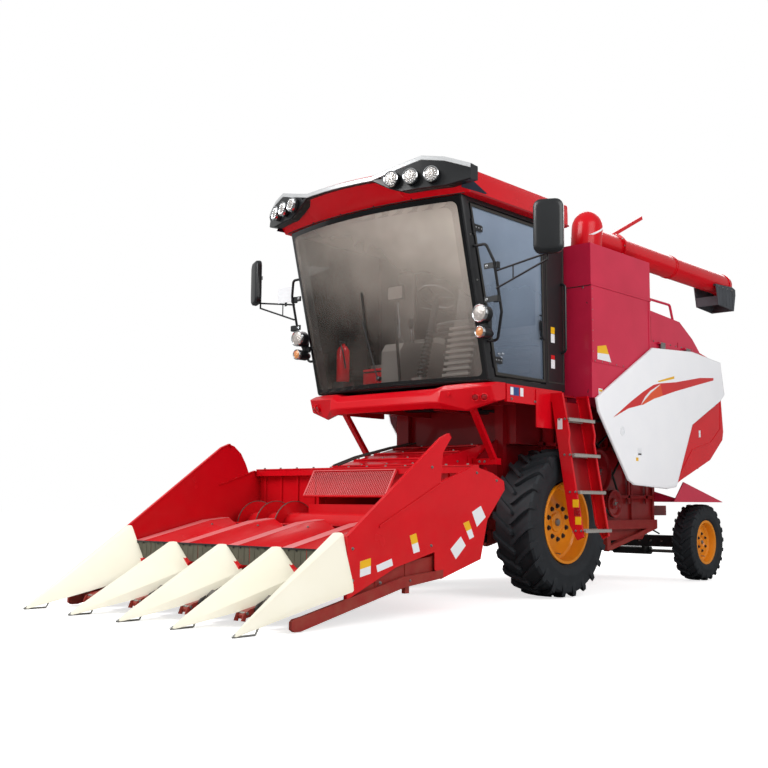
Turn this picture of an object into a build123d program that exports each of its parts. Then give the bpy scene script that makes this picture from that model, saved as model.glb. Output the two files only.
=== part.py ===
from build123d import *
import os
from math import asin, cos, degrees, radians, sin, sqrt

# Four-row maize combine harvester, millimetres.
# The machine faces -Y, its left side (door and ladder) is +X, +Z is up and the
# ground is z = 0. Everything below is modelled with y = 0 on the front axle;
# the finished pieces are moved back by FRONT_AXLE_Y, so that the origin lies on
# the ground, on the centre line, half way along the machine.

# ---------------------------------------------------------------- driving sizes
SHEET = 12                      # folded sheet panels, with their stiffening edge
RUN_GAP = 0.3                   # running fit between a turning face and its seat
MOVE_GAP = 12                   # free space round pieces that swing

WHEELBASE = 3230
FRONT_TYRE_R = 715
FRONT_TYRE_W = 430
FRONT_TRACK = 2060
FRONT_RIM_R = 380
FRONT_LUGS = 23                 # lugs on each half of a tread
REAR_TYRE_R = 450
REAR_TYRE_W = 260
REAR_TRACK = 1970
REAR_RIM_R = 245
REAR_LUGS = 22

ROWS = 4
ROW_SPACING = 650
DIVIDER_TIP_Y = -4350
DIVIDER_PEAK_Y = -3290
HEADER_HALF_W = 1400            # outside of the side sheets
HEADER_TIP_Z = 32               # lowest point of the skid wires
FEEDER_PIVOT_Y = -500
FEEDER_PIVOT_Z = 1200
FEEDER_HALF_W = 550
AUGER_Y = -1880
AUGER_Z = 700
AUGER_R = 205

HULL_HALF_W = 780
DECK_Z = 1960                   # top of the driver's platform
APRON_REAR_Y = -950             # front edge of the deck, where the apron starts
TYRE_OUT_X = (FRONT_TRACK + FRONT_TYRE_W) / 2
HANGER_X = TYRE_OUT_X - 55       # plate that carries the ladder
BODY_HALF_W = 1350              # outside of the grain tank
TANK_FRONT_Y = 250
TANK_REAR_Y = 1470
TANK_TOP_Z = 3500
CAB_HALF_W = 1100
CAB_FLOOR_Z = 2040
CAB_TOP_Z = 3650
CAB_REAR_Y = 150
PILLAR_FOOT_Y = -1125           # foot and head of the leaning front pillars
PILLAR_HEAD_Y = -1535
PILLAR = 100
GLASS = 8

UNLOAD_X = 1100                 # swivel of the unloading auger
UNLOAD_Y = 600
UNLOAD_Z = 3645                 # axis of the unloading tube
UNLOAD_R = 130
UNLOAD_END_Y = 3900

PANEL_HINGE_Z = 2640            # hinge line of the gull-wing side panels
PANEL = 26

FRONT_AXLE_Y = -(DIVIDER_TIP_Y + UNLOAD_END_Y) / 2


# -------------------------------------------------------------------- helpers
def block(x0, x1, y0, y1, z0, z1):
    """A box between two corners."""
    return Pos((x0 + x1) / 2, (y0 + y1) / 2, (z0 + z1) / 2) * Box(
        abs(x1 - x0), abs(y1 - y0), abs(z1 - z0)
    )


def side_plate(points, x0, x1):
    """A prism along X with a (y, z) outline."""
    face = make_face(Polyline(*points, close=True))
    return extrude(Plane.YZ.offset(x0) * face, amount=x1 - x0)


def front_plate(points, y0, y1):
    """A prism along Y with an (x, z) outline."""
    face = make_face(Polyline(*points, close=True))
    return extrude(Plane.XZ.offset(-y1) * face, amount=y1 - y0)


def flat_plate(points, z0, z1):
    """A prism along Z with an (x, y) outline."""
    face = make_face(Polyline(*points, close=True))
    return extrude(Plane.XY.offset(z0) * face, amount=z1 - z0)


def rod(start, end, diameter):
    """A round bar between two points."""
    start = Vector(*start)
    span = Vector(*end) - start
    plane = Plane(origin=start, z_dir=span)
    return extrude(plane * Circle(diameter / 2), amount=span.length)


def flat_bar(start, end, width, thickness, across=(1, 0, 0)):
    """A rectangular bar between two points, its width lying along `across`."""
    start = Vector(*start)
    span = Vector(*end) - start
    plane = Plane(origin=start, x_dir=Vector(*across), z_dir=span)
    return extrude(plane * Rectangle(width, thickness), amount=span.length)


def bent_rod(points, diameter, bend):
    """A round bar that follows corners rounded to one bend radius."""
    path = FilletPolyline(*points, radius=bend)
    return sweep(Plane(origin=path @ 0, z_dir=path % 0) * Circle(diameter / 2), path=path)


def turned_x(points, centre):
    """A body turned about the X axis from (x, radius) points, then moved to its centre."""
    face = make_face(Polyline(*points, close=True))
    return Pos(*centre) * revolve(face, axis=Axis.X)


def drum_x(x0, x1, y, z, radius):
    """A round bar along X."""
    return rod((x0, y, z), (x1, y, z), 2 * radius)


def ribbon_loft(sections):
    """A ruled body through (x, [(y, z), ...]) sections with equal point counts."""
    faces = []
    for x, points in sections:
        face = make_face(Polyline(*points, close=True))
        faces.append(Plane.YZ.offset(x) * face)
    return loft(faces, ruled=True)


def both_sides(shape):
    """A piece together with its mirror image in the centre plane."""
    return shape + mirror(shape, about=Plane.YZ)


def join(pieces):
    """All pieces of a list fused into one shape."""
    whole = pieces[0]
    for piece in pieces[1:]:
        whole = whole + piece
    return whole


# --------------------------------------------------------------------- wheels
def ring_prism(radius, sides, reach, outside=True):
    """A many-sided prism along X, from -reach to reach."""
    face = Plane.YZ.offset(-reach) * RegularPolygon(radius, sides, major_radius=outside)
    return extrude(face, amount=2 * reach)


CARCASS_SIDES = 18
LUG_HEIGHT = 0.058              # share of the tyre's radius
LUG_SKEW = 39.4                 # degrees off the axle
LUG_LEAD = 0.41                 # arc from a lug's start to its middle, per half width


def tyre_lug(radius, half, hand):
    """One slanting tread bar at the top of the tyre, on one half of the tread."""
    wide = 0.062 * radius
    length = (0.84 * half - wide * sin(radians(LUG_SKEW))) / cos(radians(LUG_SKEW))
    tall = 0.12 * radius
    reach = (length * sin(radians(LUG_SKEW)) + wide) / 2
    top = sqrt(radius ** 2 - reach ** 2)
    bar = Rot(0, 0, hand * LUG_SKEW) * Box(length, wide, tall)
    return Pos(hand * 0.45 * half, 0, top - tall / 2) * bar


def tyre(side, radius, width, rim_radius, track, y, lugs):
    """Agricultural tyre: a many-sided flat-faced carcass with two rows of slanting lugs."""
    half = width / 2
    base = radius * (1 - LUG_HEIGHT)
    body = ring_prism(base, CARCASS_SIDES, half)
    rims = body.edges().filter_by_position(Axis.X, half, half)
    rims = rims + body.edges().filter_by_position(Axis.X, -half, -half)
    body = chamfer(rims, 0.06 * width)
    body = body - ring_prism(rim_radius, CARCASS_SIDES, half + 1, False)
    wall = 0.45 * (radius - rim_radius)
    for end in (0, -1):
        side_face = body.faces().sort_by(Axis.X)[end]
        bore = side_face.inner_wires()[0].edges()
        body = chamfer(bore, wall, 0.16 * width, reference=side_face)
    bars = []
    for hand, lead in ((1, 0), (-1, 0.5)):
        bar = tyre_lug(radius, half, hand)
        for i in range(lugs):
            turn = 90 - 360 * (i + lead) / lugs - degrees(LUG_LEAD * half / radius)
            bars.append(Rot(turn, 0, 0) * bar)
    return Pos(side * track / 2, y, radius) * body.fuse(*bars)


def rim(side, rim_radius, width, track, y, z, hub_radius, hub_inner_x):
    """Dished wheel: barrel with lips, a disc set in from the outside, and its hub."""
    half = width / 2
    lip = half - 0.09 * width
    bead = half - 0.16 * width
    seat = rim_radius - RUN_GAP
    barrel = rim_radius - 26
    disc_out = half - 0.42 * width
    disc_in = disc_out - 16
    profile = [
        (-lip, seat - 14),
        (-lip, seat + 16),
        (-bead - 10, seat + 16),
        (-bead, seat),
        (bead, seat),
        (bead + 10, seat + 16),
        (lip, seat + 16),
        (lip, seat - 14),
        (bead - 20, barrel),
        (disc_out, barrel - 6),
        (disc_out + 26, hub_radius + 60),
        (disc_out, hub_radius),
        (disc_out + 44, hub_radius - 6),
        (disc_out + 44, 0),
        (hub_inner_x, 0),
        (hub_inner_x, hub_radius),
        (disc_in, hub_radius),
        (disc_in + 26, hub_radius + 60),
        (disc_in, barrel - 6),
        (-bead + 20, barrel),
    ]
    if side < 0:
        profile = [(-x, r) for x, r in profile]
    return turned_x(profile, (side * track / 2, y, z))


FRONT_HUB_R = 120
REAR_HUB_R = 70
FRONT_HUB_IN = -60              # inner end of the hub, from the wheel's centre plane
REAR_HUB_IN = -30
FRONT_HUB = (FRONT_HUB_R, FRONT_HUB_IN)
REAR_HUB = (REAR_HUB_R, REAR_HUB_IN)


# ---------------------------------------------------------------------- axles
def front_axle():
    """Drive axle beam with a final-drive case at each wheel and the lift cylinder feet."""
    beam = block(-FRONT_TRACK / 2 + 300, FRONT_TRACK / 2 - 300, -110, 110, 620, 810)
    hub_face = FRONT_TRACK / 2 + FRONT_HUB_IN - RUN_GAP
    case_out = FRONT_TRACK / 2 - FRONT_TYRE_W / 2 + 30
    case = drum_x(WHEEL_BAY_X + 10, case_out, 0, FRONT_TYRE_R, 175)
    gear = drum_x(WHEEL_BAY_X + 30, WHEEL_BAY_X + 120, -150, FRONT_TYRE_R + 110, 110)
    stub = drum_x(case_out, hub_face, 0, FRONT_TYRE_R, FRONT_HUB_R - 15)
    seat = block(480, 600, -130, 130, 800, HULL_FLOOR_Z)
    ears = []
    for x in (LIFT_X - 35, LIFT_X + 20):
        ears.append(block(x, x + 15, LIFT_FOOT_Y - 35, 60, LIFT_FOOT_Z - 45, 625))
    pin = drum_x(LIFT_X - 35, LIFT_X + 35, LIFT_FOOT_Y, LIFT_FOOT_Z, LIFT_PIN_R - RUN_GAP)
    return beam + both_sides(case + gear + stub + seat + join(ears) + pin)


LIFT_FOOT_Y = -150
LIFT_FOOT_Z = 545
LIFT_X = 365
LIFT_EYE_Y = -1250
LIFT_EYE_Z = 500
LIFT_PIN_R = 20

KINGPIN_X = REAR_TRACK / 2 - 205
YOKE_X = KINGPIN_X + 88         # outside of the fork that holds the spindle
KINGPIN_R = 28
ARM_Y = WHEELBASE + 190
ARM_X = KINGPIN_X - 60
TIE_Z = 320


def rear_axle():
    """Steering axle beam with kingpin sleeves, hung from its centre trunnion."""
    y = WHEELBASE
    beam = block(-KINGPIN_X + 40, KINGPIN_X - 40, y - 65, y + 65, REAR_TYRE_R - 70, REAR_TYRE_R + 70)
    crown = flat_crown(y)
    sleeve = Pos(KINGPIN_X, y, REAR_TYRE_R) * Cylinder(52, 140)
    bore = Pos(KINGPIN_X, y, REAR_TYRE_R) * Cylinder(KINGPIN_R + RUN_GAP, 160)
    side = sleeve - bore
    beam = beam - both_sides(bore)
    trunnion = rod((0, y - 150, TRUNNION_Z), (0, y + 150, TRUNNION_Z), 110)
    return beam + crown + both_sides(side) + trunnion


def flat_crown(y):
    """Raised middle of the axle beam, up to the trunnion."""
    outline = [(-300, REAR_TYRE_R + 60), (300, REAR_TYRE_R + 60), (110, 680), (-110, 680)]
    return front_plate(outline, y - 65, y + 65)


def knuckle(side):
    """Steering knuckle: fork round the sleeve, kingpin, steering arm and spindle."""
    y = WHEELBASE
    z = REAR_TYRE_R
    hub_face = REAR_TRACK / 2 + REAR_HUB_IN - RUN_GAP
    pin = Pos(KINGPIN_X, y, z) * Cylinder(KINGPIN_R, 200)
    top = block(KINGPIN_X - 45, YOKE_X, y - 50, y + 50, z + 70 + MOVE_GAP / 2, z + 100)
    low = block(KINGPIN_X - 45, YOKE_X, y - 50, y + 50, z - 100, z - 70 - MOVE_GAP / 2)
    back = block(YOKE_X - 28, YOKE_X, y - 50, y + 50, z - 100, z + 100)
    spindle = drum_x(YOKE_X - 8, hub_face, y, z, REAR_HUB_R - 10)
    arm = flat_plate(
        [(KINGPIN_X - 40, y), (KINGPIN_X + 40, y), (ARM_X + 32, ARM_Y + 30), (ARM_X - 32, ARM_Y + 30)],
        z - 100,
        z - 80,
    )
    arm_pin = Pos(ARM_X, ARM_Y, z - 95) * Cylinder(18, 30)
    piece = pin + top + low + back + spindle + arm + arm_pin
    return piece if side > 0 else mirror(piece, about=Plane.YZ)


def steering_cylinder():
    """Double-ended steering cylinder clamped behind the axle beam."""
    outer = drum_x(-260, 260, ARM_Y, TIE_Z, 48)
    bore = drum_x(-280, 280, ARM_Y, TIE_Z, 22 + RUN_GAP)
    legs = block(-240, -200, WHEELBASE + 65, ARM_Y, TIE_Z - 20, REAR_TYRE_R - 20)
    legs = legs + block(200, 240, WHEELBASE + 65, ARM_Y, TIE_Z - 20, REAR_TYRE_R - 20)
    return outer + legs - bore


def tie_rod():
    """Cylinder rod that pushes both steering arms; its eyes stay open below the arm pins."""
    bar = drum_x(-ARM_X + 30, ARM_X - 30, ARM_Y, TIE_Z, 22)
    eye = Pos(ARM_X, ARM_Y, TIE_Z) * (Cylinder(38, 26) - Cylinder(22, 30))
    return bar + both_sides(eye)


# ------------------------------------------------------------------- main body
HULL_BOTTOM_Z = 500
HULL_FLOOR_Z = 850              # underside of the hull over the front axle
HULL_TOP_Z = DECK_Z - 20
HULL_FRONT_Y = -240
HULL_REAR_Y = WHEELBASE - 670
WHEEL_BAY_X = 615               # half width of the hull between the front wheels
HULL_OUTLINE = (
    (HULL_FRONT_Y, HULL_FLOOR_Z),
    (HULL_FRONT_Y, HULL_TOP_Z),
    (HULL_REAR_Y, HULL_TOP_Z),
    (HULL_REAR_Y, 960),
    (HULL_REAR_Y - 140, 640),
    (HULL_REAR_Y - 310, HULL_BOTTOM_Z),
    (860, HULL_BOTTOM_Z),
    (760, HULL_FLOOR_Z),
)


def threshing_body():
    """Closed threshing and cleaning hull, with the feeder inlet at its front."""
    hull = side_plate(HULL_OUTLINE, -HULL_HALF_W, HULL_HALF_W)
    for side in (-1, 1):
        hull = hull - block(side * WHEEL_BAY_X, side * 900, -300, 770, 800, 1480)
    inlet = block(-FEEDER_HALF_W + 30, FEEDER_HALF_W - 30, HULL_FRONT_Y - 10, 260, 900, 1420)
    ribs = []
    for y in (900, 1420, 1990, 2480):
        ribs.append(block(HULL_HALF_W - 5, HULL_HALF_W + 25, y - 20, y + 20, 720, 1900))
    return hull - inlet + both_sides(join(ribs))


def main_frame():
    """Side rails, feeder pivot cheeks, platform bearers, axle hanger and tow hitch."""
    cheek = side_plate(
        [(HULL_FRONT_Y, 980), (-600, 1060), (-640, 1260), (-560, 1360), (HULL_FRONT_Y, 1560)],
        CHEEK_X,
        CHEEK_X + 30,
    )
    cheek = cheek - drum_x(500, 700, FEEDER_PIVOT_Y, FEEDER_PIVOT_Z, TRUNNION_R + RUN_GAP)
    post = block(CHEEK_X, CHEEK_X + 100, HULL_FRONT_Y - 60, HULL_FRONT_Y, 980, DECK_Z - 90)
    bearer = block(520, 620, APRON_REAR_Y, HULL_FRONT_Y, DECK_Z - 90, DECK_Z - 20)
    rail = block(HULL_HALF_W, HULL_HALF_W + 60, 1000, 2500, 620, 720)
    brace = flat_bar((HULL_HALF_W + 30, 1390, 410), (HULL_HALF_W + 30, 2480, 640), 60, 50)
    brace_foot = block(HULL_HALF_W, HULL_HALF_W + 60, 1370, 1440, 400, 620)
    tail = block(420, 500, HULL_REAR_Y - 120, TAIL_END_Y, TAIL_Z, TAIL_Z + 120)
    side = cheek + post + bearer + rail + brace + brace_foot + tail
    beams = block(-500, 500, HULL_REAR_Y, HULL_REAR_Y + 80, TAIL_Z, TAIL_Z + 120)
    beams = beams + block(-500, 500, TAIL_END_Y - 80, TAIL_END_Y, TAIL_Z, TAIL_Z + 120)
    for y in (WHEELBASE - 140, WHEELBASE + 100):
        ear = block(-110, 110, y, y + 40, 560, TAIL_Z + 100)
        cross = block(-500, 500, y, y + 40, TAIL_Z + 40, TAIL_Z + 120)
        beams = beams + ear + cross
    trunnion = rod((0, WHEELBASE - 200, TRUNNION_Z), (0, WHEELBASE + 200, TRUNNION_Z), 110 + 2 * RUN_GAP)
    hitch = block(-60, 60, TAIL_END_Y, TAIL_END_Y + 90, TAIL_Z + 10, TAIL_Z + 35)
    hitch = hitch + block(-60, 60, TAIL_END_Y, TAIL_END_Y + 90, TAIL_Z + 85, TAIL_Z + 110)
    hitch = hitch - Pos(0, TAIL_END_Y + 50, TAIL_Z + 60) * Cylinder(HITCH_R, 140)
    frame = both_sides(side) + beams - trunnion + hitch
    return frame - side_plate(HULL_OUTLINE, -HULL_HALF_W, HULL_HALF_W)


CHEEK_X = FEEDER_HALF_W + 15
TRUNNION_R = 45
TRUNNION_Z = 640
TAIL_Z = 760
TAIL_END_Y = WHEELBASE + 150
HITCH_R = 16


def grain_tank():
    """Grain tank: hopper floor, walls, front sheet, a stiffening ledge and the fixed auger pipe."""
    wall = 25
    w = BODY_HALF_W
    hopper = [(w, TANK_TOP_Z), (w, 2240), (HULL_HALF_W + 40, HULL_TOP_Z)]
    hopper = hopper + [(-x, z) for x, z in reversed(hopper)]
    inside = [(w - wall, TANK_TOP_Z + 10), (w - wall, 2250), (HULL_HALF_W + 34, HULL_TOP_Z + wall)]
    inside = inside + [(-x, z) for x, z in reversed(inside)]
    tank = front_plate(hopper, TANK_FRONT_Y, TANK_REAR_Y)
    tank = tank - front_plate(inside, TANK_FRONT_Y + wall, TANK_REAR_Y - wall)
    front_sheet = block(-w, w, TANK_FRONT_Y, TANK_FRONT_Y + SHEET, HULL_TOP_Z, 2400)
    skirt = block(w - SHEET, w, TANK_FRONT_Y, TANK_REAR_Y, HULL_TOP_Z, 2300)
    ledge = block(-w - 8, w + 8, TANK_FRONT_Y - 8, TANK_REAR_Y, 3070, 3090)
    ledge = ledge - block(-w + 5, w - 5, TANK_FRONT_Y + 5, TANK_REAR_Y + 50, 3060, 3100)
    pipe_foot = 2180
    pipe_top = TANK_TOP_Z - 5
    height = pipe_top - pipe_foot
    pipe = Pos(UNLOAD_X, UNLOAD_Y, pipe_foot + height / 2) * Cylinder(UNLOAD_R + 25, height)
    bore = Pos(UNLOAD_X, UNLOAD_Y, pipe_foot + height / 2 + 50) * Cylinder(UNLOAD_R + 5, height)
    return tank + front_sheet + both_sides(skirt) + ledge + (pipe - bore)


def engine():
    """Diesel engine, one plain heavy block on its deck behind the tank."""
    return block(-480, 520, 1620, 2380, HULL_TOP_Z, 2760)


HOOD_OUTLINE = (
    (TANK_REAR_Y, 2560),
    (TANK_REAR_Y, 2980),
    (2160, 2940),
    (2470, 2780),
    (2640, 2650),
    (2640, 2560),
)
PANEL_HINGE_X = BODY_HALF_W + MOVE_GAP + 4
PANEL_HINGES = (1700, 2300)


def engine_hood():
    """Hood over the engine deck, behind the grain tank."""
    w = BODY_HALF_W - 8
    outline = HOOD_OUTLINE
    inner = [
        (TANK_REAR_Y - 20, 2500),
        (TANK_REAR_Y - 20, 2980 - SHEET),
        (2155, 2940 - SHEET),
        (2463, 2780 - SHEET),
        (2640 - SHEET, 2650 - SHEET),
        (2640 - SHEET, 2500),
    ]
    hood = side_plate(outline, -w, w) - side_plate(inner, -w + SHEET, w - SHEET)
    rails = []
    for side in (-1, 1):
        path = [
            (side * (w - 20), TANK_REAR_Y + 12, 3110),
            (side * (w - 20), 1970, 3110),
            (side * (w - 20), 2040, 2940),
        ]
        rails.append(bent_rod(path, 28, 40))
    hinges = []
    for y in PANEL_HINGES:
        for near, far in ((50 + RUN_GAP, 85), (-85, -50 - RUN_GAP)):
            start = (PANEL_HINGE_X, y + near, PANEL_HINGE_Z)
            end = (PANEL_HINGE_X, y + far, PANEL_HINGE_Z)
            hinges.append(rod(start, end, 22))
            low = PANEL_HINGE_Z - 8
            hinges.append(block(w - 4, PANEL_HINGE_X, y + near, y + far, low, low + 16))
    return hood + rails[0] + rails[1] + both_sides(join(hinges))


def rear_hood():
    """Straw hood: side sheets, sloping rear face and top, open at the bottom."""
    w = BODY_HALF_W - 20
    outline = [
        (1930, 1085),
        (2140, 1166),
        (2880, 1412),
        (3220, 1660),
        (3250, 1760),
        (3200, 2195),
        (3110, 2571),
        (2640, 2650),
        (2640, 2000),
        (2100, 1500),
    ]
    side = side_plate(outline, w - SHEET, w)
    top = side_plate([(2640, 2650), (3110, 2571), (3106, 2571 - SHEET), (2640, 2650 - SHEET)], -w, w)
    outer = [(3110, 2571), (3200, 2195), (3250, 1760), (3220, 1660)]
    inner = [(3205, 1660), (3236, 1760), (3187, 2195), (3098, 2571)]
    back = side_plate(outer + inner, -w, w)
    bulkhead = block(-w, w, HULL_REAR_Y, HULL_REAR_Y + SHEET, 1300, 2540)
    bulkhead = bulkhead + block(-w, w, HULL_REAR_Y, 2660, 2528, 2540)
    bulkhead = bulkhead + block(-w, w, 2640, 2640 + SHEET, 2528, 2640)
    return both_sides(side) + top + back + bulkhead


def side_panel(side):
    """Gull-wing side panel: a thick moulded skin hung from its top edge."""
    outline = [
        (280, 1936),
        (317, 1810),
        (885, 1141),
        (1006, 1093),
        (1720, 1061),
        (1927, 1085),
        (2345, 1788),
        (3085, 2115),
        (3200, 2195),
        (3110, 2571),
        (2390, 2624),
        (1447, 2565),
    ]
    x0 = BODY_HALF_W + MOVE_GAP
    skin = side_plate(outline, x0, x0 + PANEL)
    knuckles = []
    for y in PANEL_HINGES:
        knuckles.append(rod((x0 + 4, y - 50, PANEL_HINGE_Z), (x0 + 4, y + 50, PANEL_HINGE_Z), 22))
        knuckles.append(block(x0 + 4, x0 + 14, y - 50, y + 50, 2560, PANEL_HINGE_Z))
    piece = skin + join(knuckles)
    return piece if side > 0 else mirror(piece, about=Plane.YZ)


def rear_wings():
    """Triangular guard plates over the rear wheels."""
    z = 2 * REAR_TYRE_R + 2 * MOVE_GAP
    edge = 1180
    front_y = WHEELBASE - 730
    tip_y = WHEELBASE + 270
    plan = [(620, WHEELBASE - 590), (edge, front_y), (edge, tip_y), (620, WHEELBASE + 20)]
    plate = flat_plate(plan, z, z + 6)
    cheek = side_plate([(front_y - 240, z), (front_y, 1150), (tip_y, z + 6), (tip_y, z)], edge - SHEET, edge)
    inner = edge - SHEET
    outline = [(500, z - 80), (500, z + 160), (640, z + 160), (inner, z + 6), (inner, z), (640, z)]
    web = front_plate(outline, front_y + 60, front_y + 60 + SHEET)
    return both_sides(plate + cheek + web)


def drive_pulleys():
    """Belt pulleys and their shafts on the left side of the hull."""
    table = (
        # y, z, radius, width
        (760, 1560, 150, 60),
        (1180, 1250, 240, 55),
        (1640, 1600, 170, 60),
        (2120, 1330, 130, 45),
        (1500, 900, 150, 50),
    )
    pieces = []
    for y, z, radius, width in table:
        x0 = HULL_HALF_W + 45
        disc = drum_x(x0, x0 + width, y, z, radius)
        disc = disc - drum_x(x0 + width - 22, x0 + width + 1, y, z, radius - 30)
        hub = drum_x(HULL_HALF_W, x0 + width, y, z, 38)
        pieces.append(disc + hub)
    return join(pieces)


def fuel_tank():
    """Fuel tank on the right side of the hull."""
    body = block(-HULL_HALF_W - 430, -HULL_HALF_W - 26, 960, 1880, 1200, 1720)
    body = fillet(body.edges().filter_by(Axis.Y), 60)
    strap = block(-HULL_HALF_W - 26, -HULL_HALF_W, 1100, 1160, 1240, 1680)
    strap = strap + block(-HULL_HALF_W - 26, -HULL_HALF_W, 1680, 1740, 1240, 1680)
    return body + strap


def exhaust_stack():
    """Silencer and pipe on the right of the engine hood."""
    can = Pos(-900, 2000, 3120) * Cylinder(95, 280)
    foot = Pos(-900, 2000, 2970) * Cylinder(40, 60) - side_plate(HOOD_OUTLINE, -1100, -700)
    pipe = Pos(-900, 2000, 3320) * Cylinder(38, 160)
    bore = Pos(-900, 2000, 3360) * Cylinder(32, 120)
    return can + foot + pipe - bore


# -------------------------------------------------------------- platform, ladder
def platform():
    """Driver's platform deck with its side walls and the two front struts."""
    half = HANGER_X - 40
    deck = block(-half, half, APRON_REAR_Y, TANK_FRONT_Y, DECK_Z - 20, DECK_Z)
    wall = block(HANGER_X - 40, HANGER_X - 10, APRON_REAR_Y, -30, DECK_Z - 140, DECK_Z + 25)
    hanger = block(HANGER_X - 10, HANGER_X, -490, -30, 1610, DECK_Z + 10)
    cab_feet = []
    for x in (-900, 900):
        for y in (-850, 50):
            cab_feet.append(block(x - 60, x + 60, y - 60, y + 60, DECK_Z, CAB_FLOOR_Z - 40))
    strut = flat_bar((900, -900, DECK_Z - 15), (660, -570, 1320), 70, 40)
    foot = block(CHEEK_X + 30, 700, -610, -535, 1275, 1350)
    return deck + both_sides(wall + strut + foot) + hanger + join(cab_feet)


APRON_REAR_TOP = (1988, 1990, 1993, 1995)
APRON_REAR_LOW = (1890, 1880, 1860, 1840)
APRON_SECTIONS = (
    # half width, then front top, lip, crease and lower edge
    (600, (-1290, 1945), (-1348, 1882), (-1362, 1815), (-1325, 1757)),
    (700, (-1262, 1972), (-1330, 1925), (-1348, 1808), (-1290, 1748)),
    (900, (-1215, 1982), (-1285, 1930), (-1195, 1738), (-1165, 1728)),
    (HANGER_X - 20, (-1088, 1990), (-1172, 1953), (-1130, 1822), (-1090, 1812)),
)


def apron():
    """Folded wedge bumper across the front of the platform."""
    sections = []
    for (half, *points), top, low in zip(APRON_SECTIONS, APRON_REAR_TOP, APRON_REAR_LOW):
        outline = [(APRON_REAR_Y, top), *points, (APRON_REAR_Y, low)]
        sections.append((half, outline))
        sections.insert(0, (-half, outline))
    return ribbon_loft(sections)


LADDER_TOP = (HANGER_X, DECK_Z - 10)
LADDER_FOOT = (TYRE_OUT_X + 160, 590)
LADDER_FRONT_Y = -250
LADDER_REAR_Y = 235
TREAD_HEIGHTS = (1710, 1370, 1020, 660)


def ladder_x(z):
    """Inner edge of the leaning ladder at a height."""
    share = (z - LADDER_FOOT[1]) / (LADDER_TOP[1] - LADDER_FOOT[1])
    return LADDER_FOOT[0] + share * (LADDER_TOP[0] - LADDER_FOOT[0])


def ladder():
    """Leaning ladder: two plate stringers and a back plate."""
    depth = 160
    outline = [
        LADDER_TOP,
        (LADDER_TOP[0] + depth, LADDER_TOP[1]),
        (LADDER_FOOT[0] + depth, LADDER_FOOT[1]),
        (LADDER_FOOT[0] + 60, LADDER_FOOT[1] - 30),
        (ladder_x(700), 700),
        (ladder_x(1860), 1860),
        (HANGER_X, 1880),
    ]
    front = front_plate(outline, LADDER_FRONT_Y, LADDER_FRONT_Y + 10)
    rear = front_plate(outline, LADDER_REAR_Y - 10, LADDER_REAR_Y)
    sheet = []
    for z, offset in ((1880, 2), (1880, 8), (1000, 8), (1000, 2)):
        sheet.append((ladder_x(z) + offset, z))
    back = front_plate(sheet, LADDER_FRONT_Y + 10, LADDER_REAR_Y - 10)
    return front + rear + back


def ladder_treads():
    """Four checker-plate treads between the stringers."""
    treads = []
    for z in TREAD_HEIGHTS:
        x = ladder_x(z) + 16
        tread = block(x, x + 150, LADDER_FRONT_Y + 10, LADDER_REAR_Y - 10, z - 30, z)
        treads.append(tread - block(x + 10, x + 140, LADDER_FRONT_Y + 20, LADDER_REAR_Y - 20, z - 31, z - 6))
    return join(treads)


# ----------------------------------------------------------------------- cab
LEAN = (PILLAR_HEAD_Y - PILLAR_FOOT_Y) / (CAB_TOP_Z - CAB_FLOOR_Z)
SCREEN_BULGE = 170


def pillar_y(z):
    """Front face of the leaning pillar at a height."""
    return PILLAR_FOOT_Y + LEAN * (z - CAB_FLOOR_Z)


def crescent(half, bulge, y_side, depth):
    """Plan of a curved strip: a front arc that bulges forward, and one `depth` behind it."""
    front = ThreePointArc((-half, y_side), (0, y_side - bulge), (half, y_side))
    back = ThreePointArc((half, y_side + depth), (0, y_side - bulge + depth), (-half, y_side + depth))
    left = Line((half, y_side), (half, y_side + depth))
    right = Line((-half, y_side + depth), (-half, y_side))
    return make_face(Wire([front.edge(), left.edge(), back.edge(), right.edge()]))


def leaning(face, z0, z1, extra_y=0):
    """A plan outline swept up along the lean of the front pillars."""
    direction = (0, LEAN * (z1 - z0), z1 - z0)
    base = Pos(0, pillar_y(z0) - PILLAR_FOOT_Y + extra_y, z0) * face
    return extrude(base, amount=z1 - z0, dir=direction)


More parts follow.
